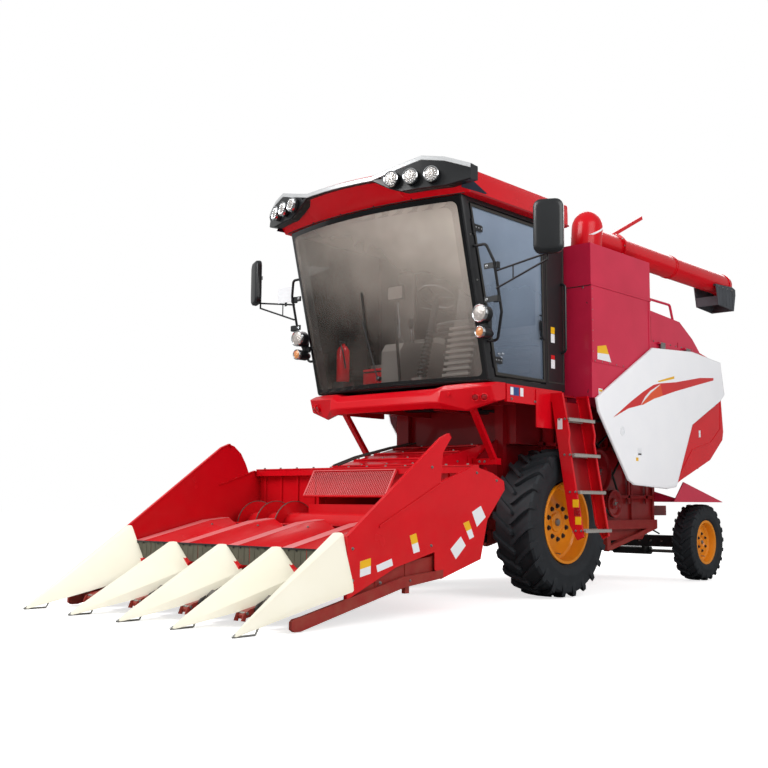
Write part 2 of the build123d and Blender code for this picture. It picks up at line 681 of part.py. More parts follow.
def cab_shell():
    """Cab frame: floor, sills, four pillars, rear wall and roof ring, with the windows cut."""
    w = CAB_HALF_W
    outline = [
        (pillar_y(CAB_FLOOR_Z - 40), CAB_FLOOR_Z - 40),
        (pillar_y(CAB_TOP_Z), CAB_TOP_Z),
        (CAB_REAR_Y, CAB_TOP_Z),
        (CAB_REAR_Y, CAB_FLOOR_Z - 40),
    ]
    wall = 60
    inner = [
        (pillar_y(CAB_FLOOR_Z) - 200, CAB_FLOOR_Z),
        (pillar_y(CAB_TOP_Z - 25) - 200, CAB_TOP_Z - 25),
        (CAB_REAR_Y - wall, CAB_TOP_Z - 25),
        (CAB_REAR_Y - wall, CAB_FLOOR_Z),
    ]
    cab = side_plate(outline, -w, w) - side_plate(inner, -w + wall, w - wall)
    sill = CAB_FLOOR_Z + DOOR_SILL
    head = CAB_TOP_Z - DOOR_HEAD
    window = [
        (pillar_y(sill) + PILLAR, sill),
        (pillar_y(head) + PILLAR, head),
        (DOOR_REAR_HEAD_Y, head),
        (DOOR_REAR_FOOT_Y, sill),
    ]
    cab = cab - side_plate(window, -w - 10, w + 10)
    rear_window = block(-800, 800, CAB_REAR_Y - 100, CAB_REAR_Y + 20, 2700, 3450)
    cab = cab - rear_window
    bow = crescent(w - 70, SCREEN_BULGE - 20, PILLAR_FOOT_Y + 8, 60)
    front_sill = leaning(bow, CAB_FLOOR_Z - 40, CAB_FLOOR_Z + 12)
    front_head = leaning(bow, CAB_TOP_Z - 25, CAB_TOP_Z)
    hinges = []
    for z in DOOR_HINGES:
        for near, far in ((50.5, 74), (-74, -50.5)):
            hinges.append(door_pin(z + near, z + far))
            y = door_axis_y(z + (near + far) / 2)
            hinges.append(block(w - 5, DOOR_AXIS_X, y - 9, y + 9, z + near + 3, z + far - 3))
    return cab + front_sill + front_head + join(hinges)


DOOR_REAR_FOOT_Y = -184
DOOR_REAR_HEAD_Y = -220
DOOR_SILL = 4                   # sill above the cab floor and head below the cab top
DOOR_HEAD = 40
DOOR_SEAL = 22                  # width of the door's seal frame
DOOR_GAP = 16                   # the leaning hinge lifts the open door's corner
DOOR_HINGES = (2200, 3380)
DOOR_AXIS_X = CAB_HALF_W + 14


def door_axis_y(z):
    """The door's hinge line leans along the rear edge of the pillar."""
    return pillar_y(z) + PILLAR - 4


def door_pin(z0, z1):
    """A length of the door's hinge pin."""
    return rod((DOOR_AXIS_X, door_axis_y(z0), z0), (DOOR_AXIS_X, door_axis_y(z1), z1), 20)


def windshield():
    """Curved windshield glass in front of the pillars, leaning forward at the top."""
    strip = crescent(CAB_HALF_W - 10, SCREEN_BULGE, PILLAR_FOOT_Y - GLASS - RUN_GAP, GLASS)
    return leaning(strip, CAB_FLOOR_Z - 30, CAB_TOP_Z - 10)


def door_outline(inset):
    """Side outline of the door, pulled in by `inset` from the opening."""
    sill = CAB_FLOOR_Z + DOOR_SILL + inset
    head = CAB_TOP_Z - DOOR_HEAD - inset
    return [
        (pillar_y(sill) + PILLAR + inset, sill),
        (pillar_y(head) + PILLAR + inset, head),
        (DOOR_REAR_HEAD_Y - inset, head),
        (DOOR_REAR_FOOT_Y - inset, sill),
    ]


def door_frame():
    """Slim seal frame of the glass door with its hinge plates."""
    x0 = CAB_HALF_W - 30
    ring = side_plate(door_outline(DOOR_GAP), x0, CAB_HALF_W + 4)
    ring = ring - side_plate(door_outline(DOOR_GAP + DOOR_SEAL), x0 - 10, CAB_HALF_W + 20)
    plates = []
    for z in DOOR_HINGES:
        y = door_axis_y(z)
        plates.append(block(CAB_HALF_W + 6, CAB_HALF_W + 16, y, y + 130, z - 30, z + 30))
        plates.append(block(CAB_HALF_W + 3, CAB_HALF_W + 8, y + 28, y + 45, z - 30, z + 30))
        plates.append(door_pin(z - 50, z + 50))
    handle = block(CAB_HALF_W + 4, CAB_HALF_W + 34, DOOR_REAR_FOOT_Y - 90, DOOR_REAR_FOOT_Y - 50, 2480, 2640)
    return ring + join(plates) + handle


def door_glass():
    """Pane of the door."""
    return side_plate(door_outline(DOOR_GAP + DOOR_SEAL), CAB_HALF_W - 14, CAB_HALF_W - 14 + GLASS)


def cab_side_glass():
    """Fixed right-hand pane and rear window."""
    pane = side_plate(door_outline(0), -CAB_HALF_W + 14, -CAB_HALF_W + 14 + GLASS)
    rear = block(-800, 800, CAB_REAR_Y - 40, CAB_REAR_Y - 40 + GLASS, 2700, 3450)
    return pane + rear


ROOF_SIDE_X = 1200
ROOF_FRONT_SIDE_Y = -1668
ROOF_FRONT_BULGE = 292
ROOF_BROW = 145                 # height of the fascia that slants back to the windshield
ROOF_HEIGHT = 220
VISOR_HALF = 1340               # plan arc of the visor: half chord, bulge and end
VISOR_BULGE = 370
VISOR_SIDE_Y = -1640
VISOR_DEPTH = 110


def roof_plan(half, y_side, bulge, y_rear):
    """Plan of the roof: bulging front edge, straight sides and rear."""
    front = ThreePointArc((-half, y_side), (0, y_side - bulge), (half, y_side))
    left = Line((half, y_side), (half, y_rear))
    back = Line((half, y_rear), (-half, y_rear))
    right = Line((-half, y_rear), (-half, y_side))
    return make_face(Wire([front.edge(), left.edge(), back.edge(), right.edge()]))


def visor_solid(grow=0):
    """Front lamp visor: a low middle strip between two high pods, curved in plan."""
    base = CAB_TOP_Z
    outline = [
        (0, base + 190 + grow),
        (420, base + 190 + grow),
        (650, base + 245 + grow),
        (900, base + 315 + grow),
        (1100, base + 285 + grow),
        (1306 + grow, base + 210 + grow),
        (1306 + grow, base + 70 - grow),
        (1110, base + 20 - grow),
        (720, base + 5 - grow),
        (595 - grow, base + 50 - grow),
        (430 - grow, base + 140 - grow),
        (0, base + 145 - grow),
    ]
    slab = both_sides(front_plate(outline, VISOR_SIDE_Y - 560, VISOR_SIDE_Y + 240))
    band = crescent(VISOR_HALF + grow, VISOR_BULGE, VISOR_SIDE_Y - grow, VISOR_DEPTH + 2 * grow)
    return slab & extrude(Plane.XY.offset(base - 50) * band, amount=500)


def visor():
    """Visor with a recess for every lamp."""
    body = visor_solid()
    for x, y, angle in lamp_places():
        body = body - Pos(x, y, LAMP_Z) * Rot(0, 0, angle) * Rot(90, 0, 0) * Cylinder(LAMP_R + 4, 90)
    return body


LAMP_R = 72
LAMP_Z = CAB_TOP_Z + 125
LAMP_PITCH = 180
LAMP_FIRST_X = 640
LAMP_PROUD = 15                 # centre of the lamp body ahead of the visor's arc


def lamp_places():
    """Centre and yaw of the six visor lamps, spread along the visor's arc."""
    places = []
    radius = (VISOR_HALF ** 2 + VISOR_BULGE ** 2) / (2 * VISOR_BULGE)
    for side in (-1, 1):
        for i in range(3):
            x = side * (LAMP_FIRST_X + i * LAMP_PITCH)
            y = VISOR_SIDE_Y - VISOR_BULGE - LAMP_PROUD + radius - sqrt(radius ** 2 - x ** 2)
            places.append((x, y, degrees(asin(x / radius))))
    return places


def work_lamps():
    """Six visor lamps."""
    lamps = []
    for x, y, angle in lamp_places():
        lamps.append(Pos(x, y, LAMP_Z) * Rot(0, 0, angle) * Rot(90, 0, 0) * Cylinder(LAMP_R, 88))
    return join(lamps)


def cab_roof():
    """Red roof cap that overhangs the windshield."""
    plan = roof_plan(ROOF_SIDE_X, ROOF_FRONT_SIDE_Y, ROOF_FRONT_BULGE, CAB_REAR_Y - 40)
    soffit = roof_plan(ROOF_SIDE_X, PILLAR_HEAD_Y + 5, SCREEN_BULGE + 20, CAB_REAR_Y - 40)
    brow_top = Plane.XY.offset(CAB_TOP_Z + ROOF_BROW) * plan
    brow = loft([Plane.XY.offset(CAB_TOP_Z) * soffit, brow_top], ruled=True)
    cap = extrude(brow_top, amount=ROOF_HEIGHT - ROOF_BROW)
    return brow + cap - visor_solid(RUN_GAP)


DRIVER_X = 240                  # the driver sits left of the centre line
SEAT_Z = 2600                   # underside of the seat's cushion


def seat():
    """Driver's seat: pedestal, cushion and backrest."""
    x = DRIVER_X
    pedestal = block(x - 150, x + 150, -550, -250, CAB_FLOOR_Z, SEAT_Z)
    cushion = block(x - 250, x + 250, -620, -170, SEAT_Z, SEAT_Z + 130)
    outline = [(-170, SEAT_Z + 60), (-270, SEAT_Z + 60), (-200, SEAT_Z + 480), (-120, SEAT_Z + 480)]
    back = side_plate(outline, x - 240, x + 240)
    return pedestal + cushion + back


def cab_controls():
    """Steering column and wheel, side console with levers, and a floor extinguisher."""
    foot = (DRIVER_X, -1060, CAB_FLOOR_Z + 40)
    top = (DRIVER_X, -800, 2920)
    column = rod(foot, top, 70)
    column = column + block(DRIVER_X - 60, DRIVER_X + 60, -1120, -1000, CAB_FLOOR_Z, CAB_FLOOR_Z + 60)
    wheel_plane = Plane(origin=top, z_dir=Vector(0, 0.45, 0.9))
    ring = wheel_plane * (Cylinder(205, 28) - Cylinder(175, 40))
    spokes = wheel_plane * (Box(380, 34, 16) + Cylinder(50, 30))
    console = block(-420, -160, -900, -150, CAB_FLOOR_Z, 2560)
    levers = []
    for x, y in ((-250, -820), (-340, -760), (-250, -700)):
        levers.append(rod((x, y, 2550), (x, y - 40, 2760), 18))
        levers.append(Pos(x, y - 40, 2770) * Sphere(28))
    return column + ring + spokes, console + join(levers)


def grab_rail():
    """Bow tube on the front pillar that carries the mirror arm."""
    root_top = 3200
    root_low = 2360
    path = [
        (CAB_HALF_W, pillar_y(root_top) + 60, root_top),
        (CAB_HALF_W + 150, pillar_y(root_top) + 60, root_top),
        (MIRROR_POST_X, pillar_y(3040) + 60, 3040),
        (MIRROR_POST_X, pillar_y(2600) + 60, 2600),
        (CAB_HALF_W + 120, pillar_y(root_low) + 60, root_low),
        (CAB_HALF_W, pillar_y(root_low) + 60, root_low),
    ]
    return bent_rod(path, 26, 45)


MIRROR_POST_X = CAB_HALF_W + 210
MIRROR_ARM_X = 1850
MIRROR_Y = PILLAR_FOOT_Y + LEAN * (2900 - CAB_FLOOR_Z) + 60


def mirror_arms():
    """Bow tubes on both front pillars with the forked mirror arms."""
    y = MIRROR_Y
    upper = rod((MIRROR_POST_X, y, 2960), (MIRROR_ARM_X, y, 3040), 18)
    lower = rod((MIRROR_POST_X, y, 2800), (MIRROR_ARM_X, y, 2985), 18)
    stay = rod((MIRROR_POST_X + 180, y, 2855), (MIRROR_POST_X + 180, y, 2985), 12)
    post = rod((MIRROR_ARM_X, y, 2980), (MIRROR_ARM_X, y, 3330), 18)
    clamp = block(MIRROR_ARM_X - 14, MIRROR_ARM_X + 14, y - 20, y + 12, 3300, 3340)
    return both_sides(grab_rail() + upper + lower + stay + post + clamp)


MIRROR_TOE = 28                 # degrees that the heads are turned towards the driver


def mirror_heads():
    """Mirror housings, tall rounded shells turned towards the driver."""
    head = block(-125, 140, -78, 0, 3050, 3530)
    head = fillet(head.edges().filter_by(Axis.Y), 60)
    head = Pos(MIRROR_ARM_X, MIRROR_Y - 20, 0) * Rot(0, 0, MIRROR_TOE) * head
    head = head - block(MIRROR_ARM_X - 14, MIRROR_ARM_X + 14, MIRROR_Y - 20, MIRROR_Y + 12, 3300, 3340)
    return both_sides(head)


def headlamps():
    """Round lamps on brackets on the front pillars."""
    y = pillar_y(2580)
    big = rod((1180, y - 40, 2580), (1180, y - 160, 2580), 160)
    small = rod((1175, y + 10, 2410), (1175, y - 80, 2410), 105)
    back = block(CAB_HALF_W, 1200, y - 42, y + 30, 2370, 2650)
    return both_sides(big + small + back)


# -------------------------------------------------------------------- header
SIDE_SHEET = (
    (-3256, 270),
    (-3256, 649),
    (-2163, 1424),
    (-2066, 1462),
    (-2040, 1430),
    (-2150, 1300),
    (-2178, 1060),
    (-1731, 1206),
    (-1480, 1154),
    (-1310, 1086),
    (-1300, 1014),
    (-1550, 760),
    (-1648, 431),
    (-2176, 292),
    (-2255, 374),
    (-2255, 508),
)
RUNNER = (
    (-3790, 45),
    (-3704, 45),
    (-2483, 230),
    (-2150, 262),
    (-2150, 330),
    (-3200, 262),
    (-3200, 300),
    (-3790, 130),
)
SHEET_POSTS = ((-2900, 430), (-2560, 500))      # y and top of the posts over the runner


def header_side_sheets():
    """End sheets of the header with their tall front fins, over a runner and two posts."""
    sheet = side_plate(SIDE_SHEET, HEADER_HALF_W - 25, HEADER_HALF_W)
    runner = side_plate(RUNNER, HEADER_HALF_W - 25, HEADER_HALF_W + 20)
    posts = []
    for y, top in SHEET_POSTS:
        posts.append(block(HEADER_HALF_W - 60, HEADER_HALF_W - 25, y - 25, y + 25, 200, top))
    crease = [(-2919, 724), (-2178, 1060), (-2165, 1044), (-2906, 708)]
    fold = side_plate(crease, HEADER_HALF_W, HEADER_HALF_W + 8)
    return both_sides(sheet + runner + join(posts) + fold)


def header_frame():
    """Trough with its back sheet, top rail and toolbar between the end sheets."""
    inside = HEADER_HALF_W - 25
    trough_r = AUGER_R + 25
    outer = drum_x(-inside, inside, AUGER_Y, AUGER_Z, trough_r + SHEET)
    inner = drum_x(-inside - 1, inside + 1, AUGER_Y, AUGER_Z, trough_r)
    lower = block(-inside, inside, AUGER_Y - 400, AUGER_Y + 400, AUGER_Z - 300, AUGER_Z)
    trough = (outer - inner) & lower
    back_y = AUGER_Y + trough_r
    back = block(-inside, inside, back_y, back_y + SHEET, AUGER_Z, 1150)
    mouth = block(-FEEDER_HALF_W + 20, FEEDER_HALF_W - 20, back_y - 80, back_y + 60, AUGER_Z - 130, 940)
    rail = block(-inside, inside, back_y - 60, back_y + SHEET, 1150, 1210)
    bar = block(-inside, inside, AUGER_Y - 330, AUGER_Y - 250, 400, 500)
    lip = block(-inside, inside, AUGER_Y - trough_r - SHEET - 40, AUGER_Y - trough_r, AUGER_Z - 12, AUGER_Z)
    keel = block(-inside, inside, AUGER_Y - 60, AUGER_Y + 60, 380, AUGER_Z - trough_r - SHEET + 4)
    low = block(-inside, inside, AUGER_Y - 300, AUGER_Y + 60, 380, 400)
    return trough + back + rail + bar + lip + keel + low - mouth


FLIGHT_TILT = 9                 # each flight is a disc leant to the flight's pitch


def cross_auger():
    """Cross auger: drum, stub shafts and flights wound towards the middle."""
    reach = HEADER_HALF_W - 25 - 20
    drum = drum_x(-reach, reach, AUGER_Y, AUGER_Z, 95)
    stub = drum_x(-HEADER_HALF_W + 25 + RUN_GAP, HEADER_HALF_W - 25 - RUN_GAP, AUGER_Y, AUGER_Z, 30)
    discs = []
    for i in range(6):
        disc = Rot(0, 90 - FLIGHT_TILT, 0) * Cylinder(AUGER_R, 8)
        discs.append(Pos(580 + i * 140, AUGER_Y, AUGER_Z) * disc)
    return drum + stub + both_sides(join(discs))


def header_screen():
    """Sloping mesh screen over the feeder mouth, framed, with bars."""
    half = 520
    top = (AUGER_Y + AUGER_R + 25 - 60 - 12, 1185)
    low = (AUGER_Y + 20, 950)
    frame = []
    frame.append(flat_bar((-half, *top), (half, *top), 24, 14, (0, 1, 0)))
    frame.append(flat_bar((-half, *low), (half, *low), 24, 14, (0, 1, 0)))
    for i in range(9):
        x = -half + i * 2 * half / 8
        frame.append(flat_bar((x, *top), (x, *low), 12, 8))
    return join(frame)


def feeder_house():
    """Feeder house from the header mouth up to its pivot, open through."""
    outer = [(-1600, 420), (-1540, 1215), (-440, 1475), (-300, 900)]
    inner = [(-1900, 470), (-1700, 1165), (-400, 1440), (-100, 950)]
    w = FEEDER_HALF_W
    house = side_plate(outer, -w, w) - side_plate(inner, -w + 20, w - 20)
    collar = block(-w, w, AUGER_Y + AUGER_R + 25 + SHEET, -1580, 420, 1190)
    collar = collar - block(-w + 20, w - 20, -1700, -1500, 570, 940)
    trunnion = drum_x(w - 20, w + 44, FEEDER_PIVOT_Y, FEEDER_PIVOT_Z, TRUNNION_R)
    lugs = [drum_x(LIFT_X - 40, LIFT_X + 40, LIFT_EYE_Y, LIFT_EYE_Z, LIFT_PIN_R - 4)]
    for x in (LIFT_X - 40, LIFT_X + 25):
        lugs.append(side_plate([(-1330, 540), (-1280, 462), (-1220, 462), (-1150, 600)], x, x + 15))
    return house + collar + both_sides(trunnion + join(lugs))


ROW_CENTRES = [(row - (ROWS - 1) / 2) * ROW_SPACING for row in range(ROWS)]
RIDGES = [(i - ROWS / 2) * ROW_SPACING for i in range(ROWS + 1)]
TOOLBAR_Y = AUGER_Y - 330
STALK_GAP = 85                  # half of the gap between two hoods
RIDGE_FLAT = 32                 # half of the hood's flat ridge


def divider_floor(y, outer):
    """Height of a divider's underside."""
    share = (y - DIVIDER_TIP_Y - 20) / (DIVIDER_PEAK_Y - DIVIDER_TIP_Y - 20)
    base = 300 if outer else 360
    return HEADER_TIP_Z + 18 + share * (base - HEADER_TIP_Z - 18)


def row_unit_frames():
    """Two sloping rails either side of each stalk gap, tied below the dividers."""
    rails = []
    outline = [(-3750, 110), (-3760, 240), (TOOLBAR_Y, 561), (TOOLBAR_Y, 400), (-2560, 330)]
    for centre in ROW_CENTRES:
        for side in (-1, 1):
            x = centre + side * (STALK_GAP + 40)
            rails.append(side_plate(outline, x - 40, x + 40))
    for ridge in RIDGES[1:-1]:
        y0 = DIVIDER_PEAK_Y - 60
        y1 = DIVIDER_PEAK_Y - 20
        tie = [(y0, 290), (y1, 290), (y1, divider_floor(y1, False)), (y0, divider_floor(y0, False))]
        rails.append(side_plate(tie, ridge - 170, ridge + 170))
    return join(rails)


def row_hoods():
    """Ridged hoods between the rows, and half ridges along the end sheets."""
    hoods = []
    reach = ROW_SPACING / 2 - STALK_GAP
    rear_y = AUGER_Y - AUGER_R - 25 - SHEET - 40
    for x in RIDGES:
        left = max(x - reach, -HEADER_HALF_W + 25)
        right = min(x + reach, HEADER_HALF_W - 25)
        sections = []
        for y, ridge, eave in ((DIVIDER_PEAK_Y, 505, 385), (rear_y, 740, 650)):
            outline = Polyline(
                (left, eave),
                (x - RIDGE_FLAT, ridge),
                (x + RIDGE_FLAT, ridge),
                (right, eave),
                (right, eave - 25),
                (x + RIDGE_FLAT, ridge - 25),
                (x - RIDGE_FLAT, ridge - 25),
                (left, eave - 25),
                close=True,
            )
            sections.append(Plane.XZ.offset(-y) * make_face(outline))
        hoods.append(loft(sections, ruled=True))
    return join(hoods)


def crop_flaps():
    """Pairs of rubber flaps that close each stalk gap behind the dividers."""
    flaps = []
    far = ROW_SPACING / 2 - 46
    for centre in ROW_CENTRES:
        for side in (-1, 1):
            outline = [(4, 402), (4, 545), (far, 545), (far, 480)]
            outline = outline + [(STALK_GAP + 10, 378), (STALK_GAP + 10, 402)]
            outline = [(centre + side * x, z) for x, z in outline]
            flaps.append(front_plate(outline, DIVIDER_PEAK_Y, DIVIDER_PEAK_Y + 8))
    return join(flaps) - row_hoods()


def dividers():
    """Five pointed dividers, the outer two taller."""
    pieces = []
    for x in RIDGES:
        outer = abs(x) > ROW_SPACING * (ROWS - 1) / 2
        peak = 670 if outer else 553
        half = 150 if outer else 205
        sections = []
        for y, top, wide in ((DIVIDER_TIP_Y + 20, HEADER_TIP_Z + 42, 14), (DIVIDER_PEAK_Y, peak, half)):
            low = divider_floor(y, outer)
            brow = low + 0.25 * (top - low)
            outline = Polyline(
                (x - wide, low),
                (x - 0.85 * wide, brow),
                (x - 0.2 * wide, top),
                (x + 0.2 * wide, top),
                (x + 0.85 * wide, brow),
                (x + wide, low),
                close=True,
            )
            sections.append(Plane.XZ.offset(-y) * make_face(outline))
        pieces.append(loft(sections, ruled=True))
    return join(pieces) - divider_skids()


def divider_skids():
    """Bent wire skids under the divider tips."""
    wires = []
    for x in RIDGES:
        path = [
            (x, DIVIDER_TIP_Y + 6, HEADER_TIP_Z + 6),
            (x, DIVIDER_TIP_Y + 290, HEADER_TIP_Z + 6),
            (x, DIVIDER_TIP_Y + 350, HEADER_TIP_Z + 118),
        ]
        wires.append(bent_rod(path, 12, 30))
    return join(wires)


CHAIN_FINGERS = 6
CHAIN_PITCH = 260
CHAIN_SLOPE = (594 - 285) / (TOOLBAR_Y - 5 + 3700)


def gathering_chains():
    """One gathering chain loop on each side of every stalk gap."""
    loops = []
    outline = [(-3700, 253), (-3700, 285), (TOOLBAR_Y - 5, 594), (TOOLBAR_Y - 5, 562)]
    for centre in ROW_CENTRES:
        for side in (-1, 1):
            x = centre + side * (STALK_GAP - 27)
            loops.append(side_plate(outline, x - 24, x + 24))
            for i in range(CHAIN_FINGERS):
                y = -3660 + i * CHAIN_PITCH
                z = 285 + (y + 3700) * CHAIN_SLOPE
                loops.append(block(x - 16, x + 16, y - 14, y + 14, z - 12, z + 20))
            foot_y = -3000
            foot = [(foot_y, 330), (foot_y + 200, 372), (foot_y + 200, 441), (foot_y, 399)]
            rail_x = centre + side * STALK_GAP
            loops.append(side_plate(foot, min(x, rail_x), max(x, rail_x)))
    return join(loops)


def stalk_rolls():
    """Pairs of stalk rolls below each gap, carried in bearings on the frame rails."""
    rolls = []
    for centre in ROW_CENTRES:
        for side in (-1, 1):
            x = centre + side * 43
            rolls.append(rod((x, -3620, 150), (x, -2620, 330), 68))
            for share in (0.04, 0.96):
                y = -3620 + share * 1000
                z = 150 + share * 180
                rolls.append(block(x, centre + side * STALK_GAP, y - 18, y + 18, z - 24, z + 24))
    return join(rolls)


def lift_point(share):
    """A point between the lift cylinder's foot and its eye."""
    y = LIFT_FOOT_Y + share * (LIFT_EYE_Y - LIFT_FOOT_Y)
    z = LIFT_FOOT_Z + share * (LIFT_EYE_Z - LIFT_FOOT_Z)
    return y, z


def lift_barrels():
    """Barrels of the two header lift cylinders."""
    eye = drum_x(LIFT_X - 14, LIFT_X + 14, LIFT_FOOT_Y, LIFT_FOOT_Z, 42)
    tab = flat_bar((LIFT_X, LIFT_FOOT_Y, LIFT_FOOT_Z), (LIFT_X, *lift_point(0.09)), 28, 60)
    barrel = rod((LIFT_X, *lift_point(0.08)), (LIFT_X, *lift_point(0.7)), 92)
    bore = rod((LIFT_X, *lift_point(0.1)), (LIFT_X, *lift_point(0.8)), 50 + 2 * RUN_GAP)
    pin = drum_x(LIFT_X - 60, LIFT_X + 60, LIFT_FOOT_Y, LIFT_FOOT_Z, LIFT_PIN_R)
    return both_sides(eye + tab + barrel - bore - pin)


def lift_rods():
    """Rods of the header lift cylinders; the eye is loose round its pin."""
    bar = rod((LIFT_X, *lift_point(0.2)), (LIFT_X, *lift_point(0.975)), 50)
    eye = drum_x(LIFT_X - 14, LIFT_X + 14, LIFT_EYE_Y, LIFT_EYE_Z, 44)
    hole = drum_x(LIFT_X - 60, LIFT_X + 60, LIFT_EYE_Y, LIFT_EYE_Z, LIFT_PIN_R + 9)
    return both_sides(bar + eye - hole)


# ------------------------------------------------------------ unloading auger
def auger_tube():
    """Swivelling elbow and unloading tube, folded back along the machine."""
    neck_r = UNLOAD_R + 25
    base_z = TANK_TOP_Z - 5 + RUN_GAP
    ring = Pos(UNLOAD_X, UNLOAD_Y, base_z + 12) * Cylinder(neck_r + 8, 24)
    neck = Pos(UNLOAD_X, UNLOAD_Y, (base_z + UNLOAD_Z) / 2) * Cylinder(neck_r, UNLOAD_Z - base_z)
    dome = Pos(UNLOAD_X, UNLOAD_Y, UNLOAD_Z) * Sphere(neck_r)
    dome = dome - block(UNLOAD_X - 300, UNLOAD_X + 300, UNLOAD_Y - 300, UNLOAD_Y + 300, 3300, base_z + 20)
    tube = rod((UNLOAD_X, UNLOAD_Y, UNLOAD_Z), (UNLOAD_X, UNLOAD_END_Y - 120, UNLOAD_Z), 2 * UNLOAD_R)
    start = (UNLOAD_X, UNLOAD_Y + 540, UNLOAD_Z)
    flange = rod(start, (UNLOAD_X, UNLOAD_Y + 560, UNLOAD_Z), 2 * UNLOAD_R + 50)
    flange = flange - block(UNLOAD_X - 300, UNLOAD_X + 300, 1000, 1300, 3300, TANK_TOP_Z + 14)
    stay = flat_bar((UNLOAD_X - 100, UNLOAD_Y + 550, UNLOAD_Z + 118), (UNLOAD_X - 100, 1930, 4150), 60, 40)
    return ring + neck + dome + tube + flange + stay


def auger_spout():
    """Rubber discharge spout under the end of the unloading tube."""
    outline = [
        (UNLOAD_END_Y - 560, UNLOAD_Z),
        (UNLOAD_END_Y, UNLOAD_Z + 60),
        (UNLOAD_END_Y, UNLOAD_Z - 120),
        (UNLOAD_END_Y - 60, UNLOAD_Z - 340),
        (UNLOAD_END_Y - 500, UNLOAD_Z - 320),
    ]
    outer = side_plate(outline, UNLOAD_X - 150, UNLOAD_X + 150)
    y0 = UNLOAD_END_Y - 480
    y1 = UNLOAD_END_Y - 70
    inner = block(UNLOAD_X - 142, UNLOAD_X + 142, y0, y1, UNLOAD_Z - 400, UNLOAD_Z - 20)
    tube = rod((UNLOAD_X, UNLOAD_Y, UNLOAD_Z), (UNLOAD_X, UNLOAD_END_Y - 119, UNLOAD_Z), 2 * UNLOAD_R + 1)
    return outer - inner - tube


# -------------------------------------------------------------------- export
def wheel_pieces():
    """Tyres and rims, front then rear, left then right, with the knuckles."""
    axles = (
        # name, wheel radius, width, rim radius, track, y, lugs, hub radius, hub's inner end
        ("front", FRONT_TYRE_R, FRONT_TYRE_W, FRONT_RIM_R, FRONT_TRACK, 0, FRONT_LUGS, *FRONT_HUB),
        ("rear", REAR_TYRE_R, REAR_TYRE_W, REAR_RIM_R, REAR_TRACK, WHEELBASE, REAR_LUGS, *REAR_HUB),
    )
    pieces = {}
    for hand, side in (("left", 1), ("right", -1)):
        for end, radius, width, rim_r, track, y, lugs, hub_r, hub_in in axles:
            pieces[f"{end}_tyre_{hand}"] = tyre(side, radius, width, rim_r, track, y, lugs)
            pieces[f"{end}_rim_{hand}"] = rim(side, rim_r, width, track, y, radius, hub_r, hub_in)
        pieces["knuckle_" + hand] = knuckle(side)
    return pieces


def main():
    """Build every piece and write it to its own STEP file."""
    steering, console = cab_controls()
    pieces = {
        "main_frame": main_frame(),
        "front_axle": front_axle(),
        "rear_axle": rear_axle(),
        "steering_cylinder": steering_cylinder(),
        "tie_rod": tie_rod(),
        "threshing_body": threshing_body(),
        "rear_hood": rear_hood(),
        "grain_tank": grain_tank(),
        "engine": engine(),
        "engine_hood": engine_hood(),
        "exhaust_stack": exhaust_stack(),
        "fuel_tank": fuel_tank(),
        "drive_pulleys": drive_pulleys(),
        "rear_wings": rear_wings(),
        "side_panel_left": side_panel(1),
        "side_panel_right": side_panel(-1),
        "platform": platform(),
        "apron": apron(),
        "ladder": ladder(),
        "ladder_treads": ladder_treads(),
        "cab_shell": cab_shell(),
        "windshield": windshield(),
        "cab_side_glass": cab_side_glass(),
        "door_frame": door_frame(),
        "door_glass": door_glass(),
        "cab_roof": cab_roof(),
        "visor": visor(),
        "work_lamps": work_lamps(),
        "seat": seat(),
        "steering_column": steering,
        "control_console": console,
        "mirror_arms": mirror_arms(),
        "mirror_heads": mirror_heads(),
        "headlamps": headlamps(),
        "header_side_sheets": header_side_sheets(),
        "header_frame": header_frame(),
        "header_screen": header_screen(),
        "feeder_house": feeder_house(),
        "row_unit_frames": row_unit_frames(),
        "row_hoods": row_hoods(),
        "dividers": dividers(),
        "crop_flaps": crop_flaps(),
        "divider_skids": divider_skids(),
        "gathering_chains": gathering_chains(),
        "stalk_rolls": stalk_rolls(),
        "cross_auger": cross_auger(),
        "lift_barrels": lift_barrels(),
        "lift_rods": lift_rods(),
        "auger_tube": auger_tube(),
        "auger_spout": auger_spout(),
    }
    pieces.update(wheel_pieces())
    os.makedirs("parts", exist_ok=True)
    for name, shape in pieces.items():
        export_step(Pos(0, FRONT_AXLE_Y, 0) * shape, "parts/" + name + ".step")


main()
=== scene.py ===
"""Four-row maize combine harvester: its visible pieces, finishes, light and camera.

Sizes are in millimetres. X is the machine's left, -Y its front and Z up, with y = 0
on the front axle and z = 0 on the ground, until `at` moves a point into the frame.
"""

import logging
import math
from dataclasses import dataclass
from enum import Enum
from typing import ClassVar, Iterable, Iterator, Optional, Sequence

import bmesh
import bpy
from mathutils import Matrix, Vector

